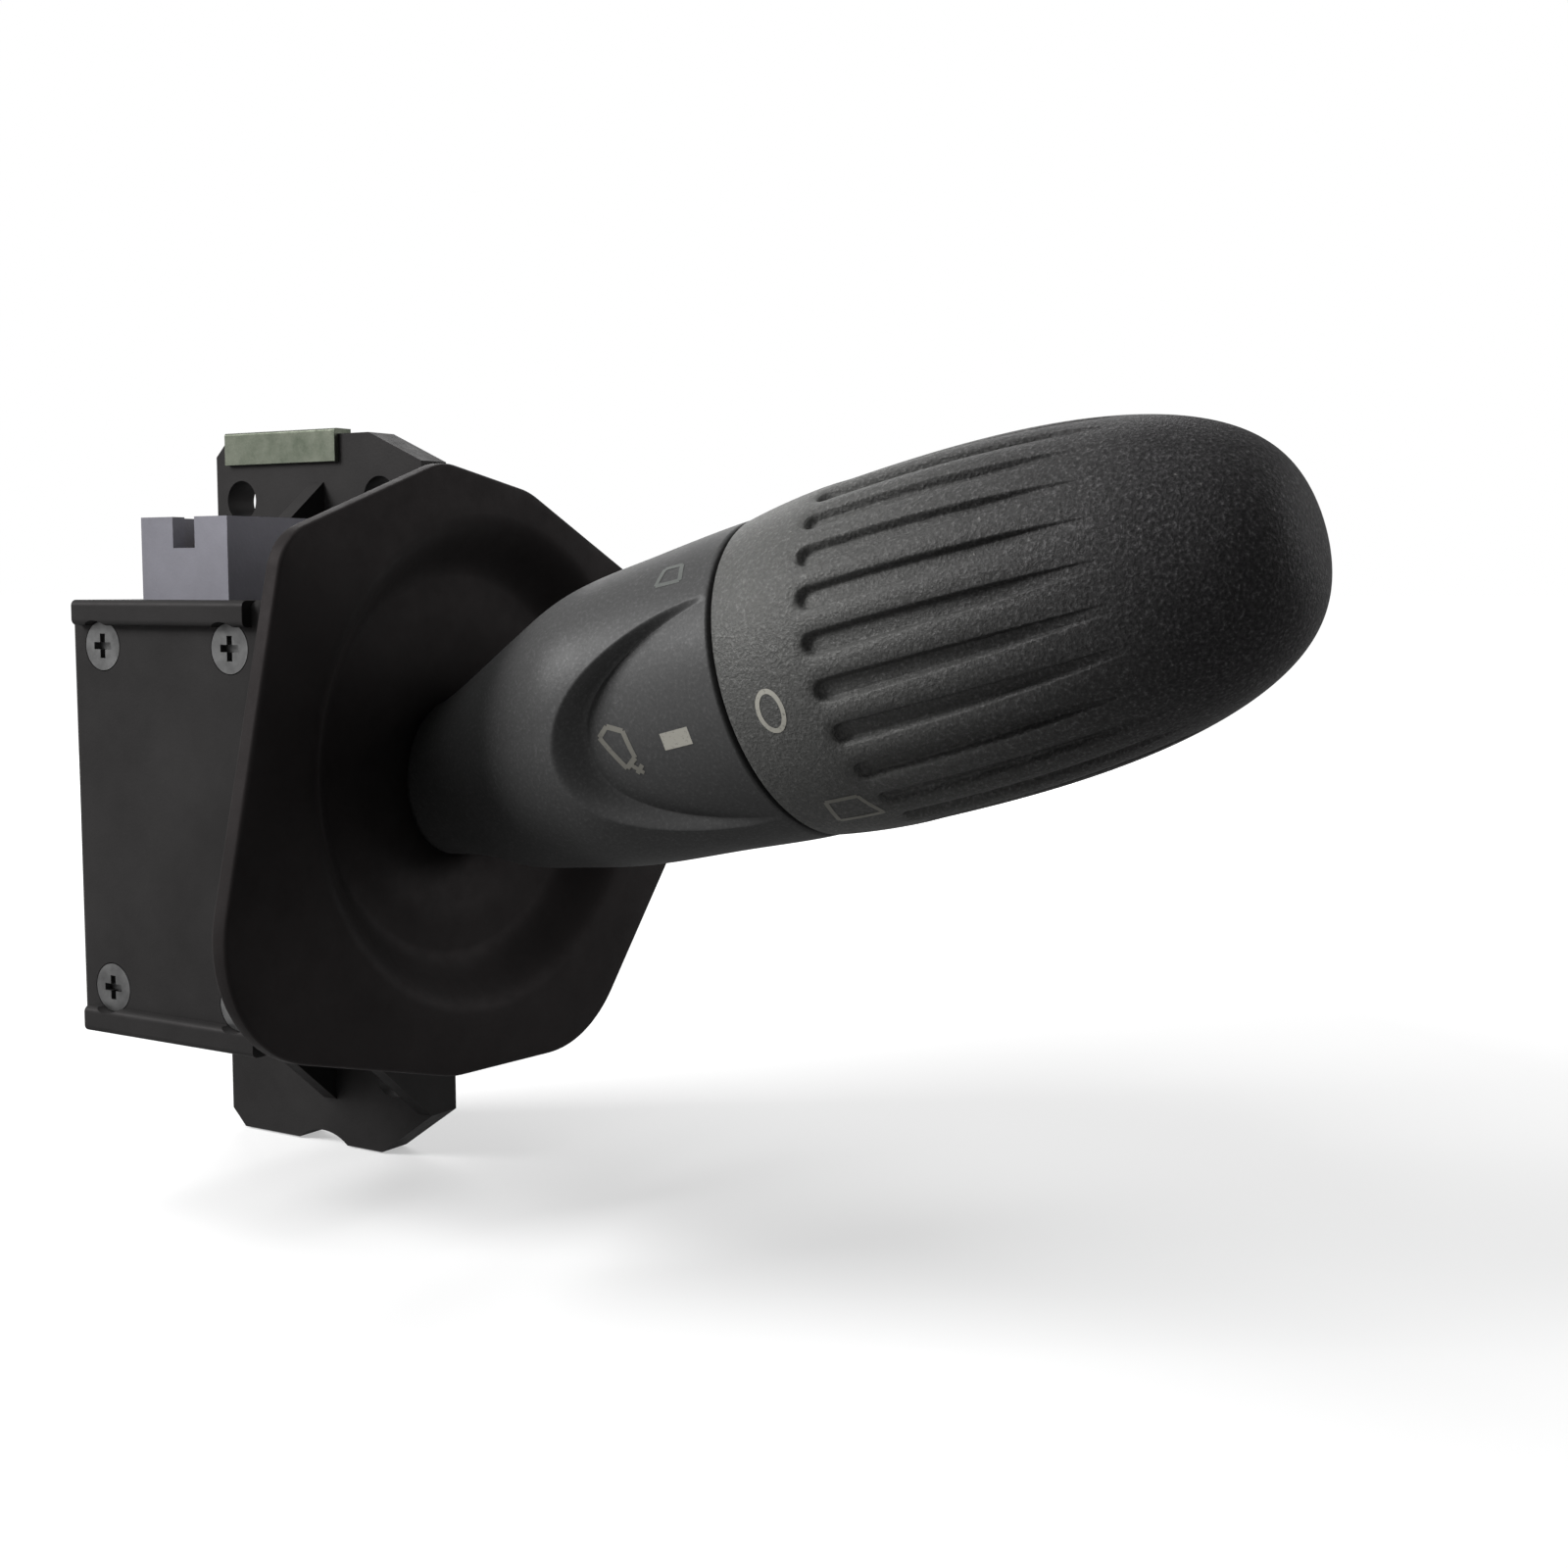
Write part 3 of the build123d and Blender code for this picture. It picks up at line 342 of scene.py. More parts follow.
def flute_depth(along, turn):
    """Flat floor, steep walls, a round end near the seam, and ridges that are slightly crowned."""
    off = (turn - FLUTE_PHASE + FLUTE_PITCH / 2) % FLUTE_PITCH - FLUTE_PITCH / 2
    across = np.abs(np.radians(off)) * knob_radius(along)
    half = flute_half(along)
    before = np.clip(FLUTE_START - along, 0.0, None)
    place = np.hypot(across, before) / half
    wall = 1 - smooth_step(FLUTE_FLOOR, FLUTE_LIP, place)
    ridge = np.radians(FLUTE_PITCH / 2) * knob_radius(np.minimum(along, FLUTE_END)) / half
    crown = np.clip((ridge - place) / (ridge - FLUTE_LIP), 0.0, 1.0) ** 2
    fade = 1 - smooth_step(FLUTE_FADE, 1.0, flute_share(along))
    return (FLUTE_DEPTH * wall + FLUTE_CROWN * crown * (1 - wall)) * fade


def knob_turns(along):
    """Turns of the mesh's columns, which run beside the flutes' walls."""
    half = np.degrees(flute_half(along) / knob_radius(min(along, FLUTE_END)))
    groove = np.array(FLUTE_STEPS) * half
    ridge = np.linspace(groove[-1], FLUTE_PITCH / 2, RIDGE_STEPS + 1)[1:]
    side = np.concatenate([groove, ridge])
    across = np.concatenate([-side[-2:0:-1], side])
    return (FLUTE_PHASE + FLUTE_PITCH * np.arange(FLUTES)[:, None] + across).ravel()


def knob_surface(along, turn):
    return knob_radius(along) - flute_depth(along, turn)


def build_knob():
    nose_start = float(knob_radius(NOSE_START)) / KNOB_RADIUS
    nose = [nose_place(share) for share in np.linspace(nose_start, 0.0, NOSE_RINGS)[:-1]]
    stations = [*spaced(KNOB_RINGS), *nose]
    rings = []
    for along in reversed(stations):
        turn = knob_turns(along)
        rings.append(on_stalk(along, turn, knob_surface(along, turn)))
    rim_turn = knob_turns(stations[0])
    for angle in np.linspace(0, pi / 2, EDGE_STEPS + 1)[1:]:
        along = MOUTH + KNOB_EDGE * (1 - sin(angle))
        rings.append(on_stalk(along, rim_turn, knob_radius(along) - KNOB_EDGE * (1 - cos(angle))))
    for along, radius in (
        (MOUTH, KNOB_RIM_RADIUS - KNOB_WALL),
        (KNOB_BELLY, KNOB_RADIUS - KNOB_WALL),
        (HOLLOW_END, knob_radius(HOLLOW_END) - KNOB_WALL),
        (HOLLOW_END, HUB_RADIUS),
        (HUB_START, HUB_RADIUS),
        (HUB_START, HUB_BORE),
        (HUB_END, HUB_BORE),
    ):
        rings.append(on_stalk(along, rim_turn, radius))
    return outward(skin("knob_skin", rings))


# Arm
def arm_size(behind):
    """Offset, drop, half width and half height at a distance behind the seam, on smooth curves."""
    table = np.array(ARM_STATIONS)
    place = table[:, 0]
    values = table[:, 1:]
    slopes = np.gradient(values, place, axis=0)
    slopes[0] = 0.0
    index = int(np.clip(np.searchsorted(place, behind) - 1, 0, len(place) - 2))
    step = place[index + 1] - place[index]
    share = (behind - place[index]) / step
    start, end = values[index], values[index + 1]
    rise = (2 * share**3 - 3 * share**2 + 1) * start + (3 * share**2 - 2 * share**3) * end
    bend = (share**3 - 2 * share**2 + share) * slopes[index] + (share**3 - share**2) * slopes[index + 1]
    return rise + step * bend


def arm_round(behind, turn):
    """Radius of the arm without the sign face: an ellipse set off from the stalk's axis, with shoulders."""
    near, drop, half_width, half_height = arm_size(behind)
    c, s = np.cos(np.radians(turn)), np.sin(np.radians(turn))
    square = (c / half_width) ** 2 + (s / half_height) ** 2
    middle = (c * near / half_width**2 + s * drop / half_height**2) / square
    rest = ((near / half_width) ** 2 + (drop / half_height) ** 2 - 1) / square
    swell = ARM_SWELL * sin(pi * np.clip(behind / ARM_SWELL_LENGTH, 0.0, 1.0))
    shoulder = np.where(c > 0, np.abs(2 * s * c) ** ARM_SHOULDER_POWER, 0.0)
    return (middle + np.sqrt(middle**2 - rest)) * (1 + swell * shoulder)


def arm_surface(behind, turn):
    """Radius of the arm with the sign face cut in."""
    radius = arm_round(behind, turn)
    face = KNOB_RIM_RADIUS - FACE_SLOPE * behind
    off = np.radians((np.asarray(turn) - FACE_TURN + 180.0) % 360.0 - 180.0)
    across = np.where(np.abs(off) < pi / 2, radius * np.sin(off), FACE_FAR)
    place = np.hypot(behind / FACE_LENGTH, across / FACE_HALF_WIDTH)
    pointed = (behind / FACE_LENGTH / np.maximum(place, FACE_LEAST)) ** FACE_POINT_POWER
    foot = FACE_SIDE_FOOT + (FACE_POINT_FOOT - FACE_SIDE_FOOT) * pointed
    inside = 1 - smooth_step(foot, FACE_TOP, place)
    return radius - np.clip(radius - face, 0.0, None) * inside


def arm_turns():
    """Turns of the mesh's columns, closer together across the sign face."""
    first, last = ARM_FACE_TURNS
    face = np.linspace(first, last, ARM_FACE_COLUMNS, endpoint=False)
    return np.concatenate([face, np.linspace(last, first + 360.0, ARM_PLAIN_COLUMNS, endpoint=False)])


def build_arm():
    turn = arm_turns()
    seam_place = np.dot(SEAM - PIVOT, ALONG)
    floor = SHIELD_DISTANCE * cos(RISE) - WELL_DEPTH
    foot_round = arm_round(seam_place - floor / cos(RISE), turn)
    foot = (floor - foot_round * np.sin(np.radians(turn)) * sin(RISE)) / cos(RISE) - seam_place
    rings = []
    for share in np.linspace(0.0, 1.0, ARM_FOOT_RINGS, endpoint=False):
        along = foot + (-ARM_BLEND - foot) * share
        radius = [arm_surface(-one, angle) for one, angle in zip(along, turn)]
        rings.append(on_stalk(along, turn, np.array(radius)))
    for along in spaced(ARM_RINGS):
        rings.append(on_stalk(along, turn, arm_surface(-along, turn)))
    for angle in np.linspace(0, pi / 2, EDGE_STEPS + 1)[1:]:
        along = -MOUTH - ARM_EDGE * (1 - sin(angle))
        rings.append(on_stalk(along, turn, KNOB_RIM_RADIUS - ARM_EDGE * (1 - cos(angle))))
    for along, radius in (
        (-MOUTH, ARM_CHAMBER_RADIUS),
        (-ARM_CHAMBER_DEPTH, ARM_CHAMBER_RADIUS),
        (-ARM_CHAMBER_DEPTH, ARM_BORE),
        (foot, ARM_BORE),
    ):
        rings.append(on_stalk(along, turn, radius))
    arm = outward(skin("arm_skin", rings, wrapped=True))
    return cut_screw_hole(arm)


def cut_screw_hole(arm):
    """Counterbore for the arm screw, on the side away from the driver."""
    bpy.ops.mesh.primitive_cylinder_add(
        vertices=SCREW_HOLE_SIDES, radius=SCREW_HOLE * MM, depth=KNOB_RADIUS * MM
    )
    tool = bpy.context.active_object
    middle = SEAM - SCREW_STATION * ALONG - (SCREW_SEAT + KNOB_RADIUS / 2) * NEAR
    tool.matrix_world = Matrix.Translation(Vector(middle * MM)) @ Matrix.Rotation(pi / 2, 4, "X")
    cut = arm.modifiers.new("screw_hole", "BOOLEAN")
    cut.operation = "DIFFERENCE"
    cut.solver = "EXACT"
    cut.object = tool
    view = bpy.context.evaluated_depsgraph_get()
    arm.data = bpy.data.meshes.new_from_object(arm.evaluated_get(view))
    arm.modifiers.clear()
    bpy.data.objects.remove(tool)
    return arm


# Shield
def rounded_outline(corners):
    """Points of a closed outline whose corners are arcs."""
    spots = [np.array(corner[:2]) for corner in corners]
    points = []
    for index, (here, corner) in enumerate(zip(spots, corners)):
        rounding = corner[2]
        before = unit(spots[index - 1] - here)
        after = unit(spots[(index + 1) % len(spots)] - here)
        half = np.arccos(np.dot(before, after)) / 2
        middle = here + unit(before + after) * rounding / sin(half)
        start = here + before * rounding / tan(half) - middle
        end = here + after * rounding / tan(half) - middle
        for share in np.linspace(0.0, 1.0, CORNER_STEPS):
            points.append(middle + rounding * unit(start + (end - start) * share))
    return np.array(points)


def shield_reach(outline, angle):
    """Distance from the shaft to the plate's edge in one direction."""
    across, up = cos(angle), sin(angle)
    edge = np.roll(outline, -1, 0) - outline
    span = across * edge[:, 1] - up * edge[:, 0]
    distance = (outline[:, 0] * edge[:, 1] - outline[:, 1] * edge[:, 0]) / span
    share = (outline[:, 0] * up - outline[:, 1] * across) / span
    return distance[(share >= 0) & (share <= 1) & (distance > 0)].min()


def build_shield():
    """A dished plate with a well around the shaft, a rounded rim, and a hub behind."""
    angles = np.radians(np.arange(SHIELD_COLUMNS) * 360.0 / SHIELD_COLUMNS)
    outline = rounded_outline(SHIELD_CORNERS)
    direction = np.stack([np.zeros_like(angles), np.cos(angles), np.sin(angles)], -1)
    rim_x = SHIELD_DISTANCE * cos(RISE)
    floor_x = rim_x - WELL_DEPTH
    hub_back = floor_x - SHIELD_THICK - SHIELD_HUB_REACH
    middle = PIVOT + np.array((0.0, 0.0, SHIELD_DISTANCE * sin(RISE)))
    edge = np.array([shield_reach(outline, angle) for angle in angles])[:, None] * direction
    ahead = np.array((1.0, 0.0, 0.0))

    def round_ring(x, radius):
        return middle + x * ahead + radius * direction

    def shaft_ring(x, radius):
        return PIVOT + np.array((x, 0.0, x * tan(RISE))) + radius * direction

    def rim_ring(share, inset, x):
        start = WELL_HIGH * direction
        return middle + x * ahead + start + (edge - inset * direction - start) * share

    def well_ring(radius, back):
        rise = WELL_DEPTH * float(smooth_step(WELL_LOW, WELL_HIGH, radius))
        return round_ring(floor_x - back + rise, radius)

    well_radii = np.linspace(WELL_LOW, WELL_HIGH, WELL_RINGS, endpoint=False)
    rim_shares = np.linspace(0, 1, SHIELD_RIM_RINGS)
    edge_angles = np.linspace(0, pi / 2, SHIELD_EDGE_STEPS + 1)
    rings = [shaft_ring(floor_x, ARM_BORE), round_ring(floor_x, WELL_LOW - 2 * WELL_ROUND)]
    rings += [well_ring(radius, 0.0) for radius in well_radii]
    rings += [rim_ring(share, SHIELD_EDGE, rim_x) for share in rim_shares]
    for angle in edge_angles[1:]:
        front_x = rim_x - SHIELD_EDGE * (1 - cos(angle))
        rings.append(rim_ring(1.0, SHIELD_EDGE * (1 - sin(angle)), front_x))
    for angle in reversed(edge_angles):
        back_x = rim_x - SHIELD_THICK + SHIELD_EDGE * (1 - cos(angle))
        rings.append(rim_ring(1.0, SHIELD_EDGE * (1 - sin(angle)), back_x))
    rings += [rim_ring(share, SHIELD_EDGE, rim_x - SHIELD_THICK) for share in rim_shares[-2::-1]]
    rings += [well_ring(radius, SHIELD_THICK) for radius in reversed(well_radii)]
    rings += [
        shaft_ring(floor_x - SHIELD_THICK, SHIELD_HUB + WELL_ROUND),
        shaft_ring(floor_x - SHIELD_THICK - WELL_ROUND / 2, SHIELD_HUB),
        shaft_ring(hub_back, SHIELD_HUB),
        shaft_ring(hub_back, ARM_BORE),
    ]
    return outward(skin("shield_skin", rings, wrapped=True))


# Printed signs, drawn on a flat sheet: across is along the stalk, up is against the turn
def print_sheet(name, strips, place):
    """Each strip is a row of (left, right) points, mapped on the surface by place(across, up)."""
    vertices = []
    faces = []
    for strip in strips:
        first = len(vertices)
        for left, right in strip:
            vertices.append((place(*left) * MM).tolist())
            vertices.append((place(*right) * MM).tolist())
        for row in range(len(strip) - 1):
            base = first + 2 * row
            faces.append((base, base + 1, base + 3, base + 2))
    return outward(new_object(name, vertices, faces))


def stroke(points, width, closed=False):
    """A line of some width through the points, cut into short lengths so that it follows the surface."""
    points = [np.array(point, float) for point in points]
    if closed:
        points = points + [points[0]]
    strips = []
    for start, end in zip(points[:-1], points[1:]):
        length = np.linalg.norm(end - start)
        side = np.array((start[1] - end[1], end[0] - start[0])) / length * width / 2
        count = max(2, int(length / SIGN_STEP) + 1)
        middles = [start + (end - start) * share for share in np.linspace(0, 1, count)]
        strips.append([(middle + side, middle - side) for middle in middles])
    return strips


def ring_stroke(radius_across, radius_up, width):
    rows = []
    for angle in np.linspace(0, 2 * pi, RING_STEPS + 1):
        ray = np.array((cos(angle), sin(angle)))
        outer = ray * (radius_across + width / 2, radius_up + width / 2)
        inner = ray * (radius_across - width / 2, radius_up - width / 2)
        rows.append((outer, inner))
    return [rows]


def window_sign(width, height):
    foot = [(-width / 2, -height / 2), (width / 2, -height / 2)]
    top = [(width * WINDOW_TOP, height / 2), (-width * WINDOW_TOP, height / 2)]
    return stroke(foot + top, SIGN_LINE, closed=True)


def washer_sign():
    screen = stroke(WASHER_SCREEN, WASHER_SCREEN_LINE, closed=True)
    return screen + stroke(WASHER_SPRAY, SIGN_LINE) + stroke(WASHER_SPRAY_BAR, SIGN_LINE)


def placer(surface, along, turn):
    """Maps a sign's flat points just above a surface, around a place on the stalk."""

    def place(across, up):
        spot = along + across
        angle = turn - np.degrees(up / KNOB_RIM_RADIUS)
        return on_stalk(spot, angle, surface(spot, angle) + PRINT_LIFT)

    return place


def on_knob(along, turn):
    return placer(knob_surface, along, turn)


def on_arm(along, turn):
    return placer(lambda spot, angle: arm_surface(-spot, angle), along, turn)


def build_signs():
    zero = ring_stroke(*ZERO_RADII, SIGN_LINE)
    index = stroke(INDEX_LINE, INDEX_WIDTH)
    washer = washer_sign()
    rear_window = window_sign(*REAR_WINDOW_SIZE)
    front_window = window_sign(*FRONT_WINDOW_SIZE)
    for name, strips, place, body, finish in (
        ("sign_zero", zero, on_knob(*ZERO_SPOT), "grip", "print"),
        ("sign_rear_window", rear_window, on_knob(*REAR_WINDOW_SPOT), "grip", "worn_print"),
        ("sign_index", index, on_arm(*INDEX_SPOT), "lever", "print"),
        ("sign_washer", washer, on_arm(*WASHER_SPOT), "lever", "worn_print"),
        ("sign_front_window", front_window, on_arm(*FRONT_WINDOW_SPOT), "lever", "faint_print"),
    ):
        sign = print_sheet(name, strips, place)
        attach(sign, body)
        give(sign, finishes[finish])


# Springs
def build_coil(name, joint):
    """A copy of a spring, carried by its joint's parent body, in place of the spring node."""
    coil = bpy.data.objects.new(name + "_coil", frame["nodes"][name].data.copy())
    bpy.context.scene.collection.objects.link(coil)
    give(coil, finishes["steel"])
    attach(coil, joint["parent"])
    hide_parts(name)
    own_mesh(coil)


# Materials
# Distances past the seam over which painted shade darkens the knob from its lit ring towards the nose
NOSE_SHADE_REACH = (4.0, 38.0)
BLACK = (0.0, 0.0, 0.0)
CHARCOAL = (0.07, 0.07, 0.07)
# The knob's colour at the ring by the seam is painted lighter as if lit, and towards the nose it is painted
# darker as shade
RING = (0.1, 0.1, 0.097)
NOSE_SHADE = (0.04, 0.039, 0.04)
NEAR_BLACK = (0.02, 0.018, 0.018)
SOFT_BLACK = (0.027, 0.026, 0.026)
BLUE_GREY = (0.18, 0.178, 0.2)
NATURAL = (0.72, 0.71, 0.65)
LAMINATE = (0.3, 0.2, 0.09)
SHEATH = (0.05, 0.05, 0.055)
DUST_LOW = (0.2, 0.19, 0.17)
DUST_HIGH = (0.3, 0.29, 0.27)
PRINT = (0.36, 0.35, 0.31)
WORN_PRINT = (0.17, 0.165, 0.145)
FAINT_PRINT = (0.085, 0.09, 0.085)

# Most of a noise lies in the middle of its range
NOISE_SPAN = (0.3, 0.7)
# Sockets of a node that mixes colours
MIX_FIRST = 6
MIX_SECOND = 7
MIX_RESULT = 2


class Material:
    """A node material with one shader, and the few node chains that the finishes share."""

    def __init__(self, name):
        self.data = bpy.data.materials.new(name)
        self.data.use_nodes = True
        self.tree = self.data.node_tree
        self.shader = self.tree.nodes["Principled BSDF"]
        self.place = self.tree.nodes.new("ShaderNodeTexCoord").outputs["Object"]

    def node(self, kind, **values):
        made = self.tree.nodes.new(kind)
        for key, value in values.items():
            setattr(made, key, value)
        return made

    def link(self, start, end):
        self.tree.links.new(start, end)

    def noise(self, size, detail=2.0, roughness=0.5):
        made = self.node("ShaderNodeTexNoise")
        made.inputs["Scale"].default_value = 1 / (size * MM)
        made.inputs["Detail"].default_value = detail
        made.inputs["Roughness"].default_value = roughness
        self.link(self.place, made.inputs["Vector"])
        return made.outputs["Fac"]

    def ramp(self, source, *stops):
        made = self.node("ShaderNodeValToRGB")
        steps = made.color_ramp.elements
        while len(steps) < len(stops):
            steps.new(0.5)
        for step, (position, colour) in zip(steps, stops):
            step.position = position
            step.color = (*colour, 1.0)
        self.link(source, made.inputs["Fac"])
        return made.outputs["Color"]

    def between(self, source, low, high):
        made = self.node("ShaderNodeMapRange")
        made.inputs["From Min"].default_value = NOISE_SPAN[0]
        made.inputs["From Max"].default_value = NOISE_SPAN[1]
        made.inputs["To Min"].default_value = low
        made.inputs["To Max"].default_value = high
        self.link(source, made.inputs["Value"])
        return made.outputs["Result"]

    def mix(self, share, first, second):
        made = self.node("ShaderNodeMix", data_type="RGBA")
        self.link(share, made.inputs["Factor"])
        self.link(first, made.inputs[MIX_FIRST])
        self.link(second, made.inputs[MIX_SECOND])
        return made.outputs[MIX_RESULT]

    def run(self, start, end):
        """0 to 1 between two distances past the seam."""
        away = self.node("ShaderNodeVectorMath", operation="DOT_PRODUCT")
        self.link(self.place, away.inputs[0])
        away.inputs[1].default_value = ALONG
        made = self.node("ShaderNodeMapRange")
        seam = float(np.dot(SEAM, ALONG))
        made.inputs["From Min"].default_value = (seam + start) * MM
        made.inputs["From Max"].default_value = (seam + end) * MM
        self.link(away.outputs["Value"], made.inputs["Value"])
        return made.outputs["Result"]

    def bump(self, source, height):
        made = self.node("ShaderNodeBump")
        made.inputs["Strength"].default_value = 1.0
        made.inputs["Distance"].default_value = height * MM
        self.link(source, made.inputs["Height"])
        return made.outputs["Normal"]

    def finish(self, colour, roughness, normal, **values):
        """Joins the chains to the shader, sets its plain values and returns the material."""
        self.link(colour, self.shader.inputs["Base Color"])
        self.link(roughness, self.shader.inputs["Roughness"])
        self.link(normal, self.shader.inputs["Normal"])
        for key, value in values.items():
            self.shader.inputs[key.replace("_", " ")].default_value = value
        return self.data


def shade(colour, factor):
    return tuple(channel * factor for channel in colour)


def pebble_tone(made, pebbles, colour, contrast):
    """A grain whose hollows are darkened with painted shade, and whose highest tops are paled with painted
    glints.
    """
    hollow = shade(colour, 1 - contrast)
    glint = shade(colour, 1 + 3 * contrast)
    return made.ramp(pebbles, (0.36, hollow), (0.56, colour), (0.72, glint))


# The dark plastics take their gloss from a small share of the metal lobe, which leaves no haze on their edges
def moulded_plastic(name, colour, shaded_colour, contrasts, grain, height, rough, gloss, dust):
    """Moulded plastic with pebbled grain and dust specks, and painted shade that darkens it towards the nose.
    """
    made = Material(name)
    cloud = made.noise(7.0, detail=4.0, roughness=0.6)
    pebbles = made.noise(grain, detail=3.0, roughness=0.6)
    lit_tone = pebble_tone(made, pebbles, colour, contrasts[0])
    shaded_tone = pebble_tone(made, pebbles, shaded_colour, contrasts[1])
    # Painted shade: the tone goes from the lit colour near the seam to the shaded colour towards the nose
    tone = made.mix(made.run(*NOSE_SHADE_REACH), lit_tone, shaded_tone)
    specks = made.noise(0.6, detail=3.0, roughness=0.75)
    mask = made.ramp(specks, (0.7, BLACK), (0.77, (dust, dust, dust)))
    pale = made.ramp(cloud, (0.2, DUST_LOW), (0.8, DUST_HIGH))
    roughness = made.between(cloud, rough - 0.05, rough + 0.07)
    normal = made.bump(pebbles, height)
    return made.finish(made.mix(mask, tone, pale), roughness, normal, Specular_IOR_Level=0.0, Metallic=gloss)


def satin_plastic(name, colour, rough, gloss):
    """Smooth plastic with a slightly uneven tone."""
    made = Material(name)
    cloud = made.noise(11.0, detail=5.0, roughness=0.6)
    tone = made.ramp(cloud, (0.3, shade(colour, 0.85)), (0.7, shade(colour, 1.15)))
    patches = made.noise(2.0, detail=4.0, roughness=0.7)
    roughness = made.between(patches, rough - 0.06, rough + 0.08)
    normal = made.bump(made.noise(0.3), 0.012)
    return made.finish(tone, roughness, normal, Specular_IOR_Level=0.0, Metallic=gloss)


def metal(name, colour, stain, rough):
    """Metal with a plated or drawn finish, slightly stained."""
    made = Material(name)
    cloud = made.noise(3.0, detail=6.0, roughness=0.65)
    tone = made.ramp(cloud, (0.35, stain), (0.62, colour))
    patches = made.noise(0.7, detail=4.0, roughness=0.7)
    roughness = made.between(patches, rough - 0.08, rough + 0.1)
    normal = made.bump(made.noise(0.25, detail=3.0), 0.006)
    return made.finish(tone, roughness, normal, Metallic=1.0)


def printed(name, colour):
    """Thin print, through which the plastic shows where it is worn."""
    made = Material(name)
    wear = made.noise(0.35, detail=4.0, roughness=0.7)
    tone = made.ramp(wear, (0.2, CHARCOAL), (0.42, colour))
    roughness = made.between(made.noise(0.5), 0.55, 0.7)
    normal = made.bump(made.noise(0.2), 0.01)
    return made.finish(tone, roughness, normal, Specular_IOR_Level=0.2)


knob_values = dict(contrasts=(0.16, 0.42), grain=0.3, height=0.14, rough=0.34, gloss=0.13, dust=0.5)
arm_values = dict(contrasts=(0.1, 0.1), grain=0.3, height=0.02, rough=0.4, gloss=0.14, dust=0.15)
finishes = {
    "knob_plastic": moulded_plastic("knob_plastic", RING, NOSE_SHADE, **knob_values),
    "arm_plastic": moulded_plastic("arm_plastic", CHARCOAL, CHARCOAL, **arm_values),
    "shield_plastic": satin_plastic("shield_plastic", NEAR_BLACK, rough=0.5, gloss=0.25),
    "housing_plastic": satin_plastic("housing_plastic", SOFT_BLACK, rough=0.45, gloss=0.2),
    "connector_plastic": satin_plastic("connector_plastic", BLUE_GREY, rough=0.45, gloss=0.12),
    "yoke_plastic": satin_plastic("yoke_plastic", SOFT_BLACK, rough=0.5, gloss=0.2),
    "acetal": satin_plastic("acetal", NATURAL, rough=0.35, gloss=0.05),
    "board": satin_plastic("board", LAMINATE, rough=0.5, gloss=0.05),
    "lead_sheath": satin_plastic("lead_sheath", SHEATH, rough=0.45, gloss=0.1),
    "plated_steel": metal("plated_steel", (0.072, 0.078, 0.062), stain=(0.045, 0.052, 0.039), rough=0.5),
    "dark_steel": metal("dark_steel", (0.09, 0.09, 0.09), stain=(0.05, 0.05, 0.05), rough=0.45),
    "steel": metal("steel", (0.6, 0.6, 0.6), stain=(0.42, 0.42, 0.42), rough=0.35),
    "contact_brass": metal("contact_brass", (0.72, 0.55, 0.27), stain=(0.5, 0.36, 0.17), rough=0.3),
    "die_cast": metal("die_cast", (0.5, 0.51, 0.52), stain=(0.34, 0.35, 0.36), rough=0.5),
    "print": printed("print", PRINT),
    "worn_print": printed("worn_print", WORN_PRINT),
    "faint_print": printed("faint_print", FAINT_PRINT),
}

# Pieces
for build, node, body, finish in (
    (build_knob, "knob", "grip", "knob_plastic"),
    (build_arm, "stalk_arm", "lever", "arm_plastic"),
    (build_shield, "shield", "lever", "shield_plastic"),
):
    piece = build()
    give(piece, finishes[finish])
    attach(piece, body)
    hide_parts(node)
build_signs()
for joint in frame["record"]["behaviour"]["joints"]:
    for spring in joint.get("deforming_nodes", []):
        build_coil(spring["node"], joint)

NODE_FINISHES = {
    "housing_plastic": ("housing_base", "housing_cover"),
    "connector_plastic": ("connector_shroud",),
    "yoke_plastic": ("yoke", "knob_spindle"),
    "acetal": ("detent_cam", "knob_rotor", "speed_slider", "lift_plunger", "pull_plunger"),
    "board": ("contact_board", "knob_board"),
    "lead_sheath": ("knob_leads",),
    "plated_steel": ("lug_plate",),
    "dark_steel": ("housing_screws", "arm_screw"),
    "steel": ("pull_pin", "lift_spring", "pull_spring", "ball_spring", "detent_ball", "retaining_clip"),
    "contact_brass": ("pivot_bushes", "terminal_pins", "contact_tracks", "slider_contacts", "knob_brush"),
    "die_cast": ("lever_core",),
    "knob_plastic": ("knob",),
    "arm_plastic": ("stalk_arm",),
    "shield_plastic": ("shield",),
}
for finish, names in NODE_FINISHES.items():
    for name in names:
        give(frame["nodes"][name], finishes[finish])


# Camera at the photograph's viewing angle
def view_axes():
    azimuth, elevation = radians(VIEW_AZIMUTH), radians(VIEW_ELEVATION)
    back = np.array((sin(azimuth) * cos(elevation), -cos(azimuth) * cos(elevation), sin(elevation)))
    right = np.array((cos(azimuth), sin(azimuth), 0.0))
    return back, right, np.cross(back, right)


back, right, up = view_axes()
spot = SEAM + VIEW_DISTANCE * back
spot -= (SEAM_PIXEL[0] - PICTURE / 2) / FOCAL_PIXELS * VIEW_DISTANCE * right
spot -= (PICTURE / 2 - SEAM_PIXEL[1]) / FOCAL_PIXELS * VIEW_DISTANCE * up
camera = bpy.data.objects.new("camera", bpy.data.cameras.new("camera"))
camera.data.sensor_width = SENSOR
camera.data.lens = FOCAL_PIXELS / PICTURE * SENSOR
camera.data.clip_start = CLIP_START * MM
facing = Matrix(np.stack([right, up, back], 1).tolist()).to_4x4()
camera.matrix_world = Matrix.Translation(Vector(spot * MM)) @ facing
bpy.context.scene.collection.objects.link(camera)
bpy.context.scene.camera = camera

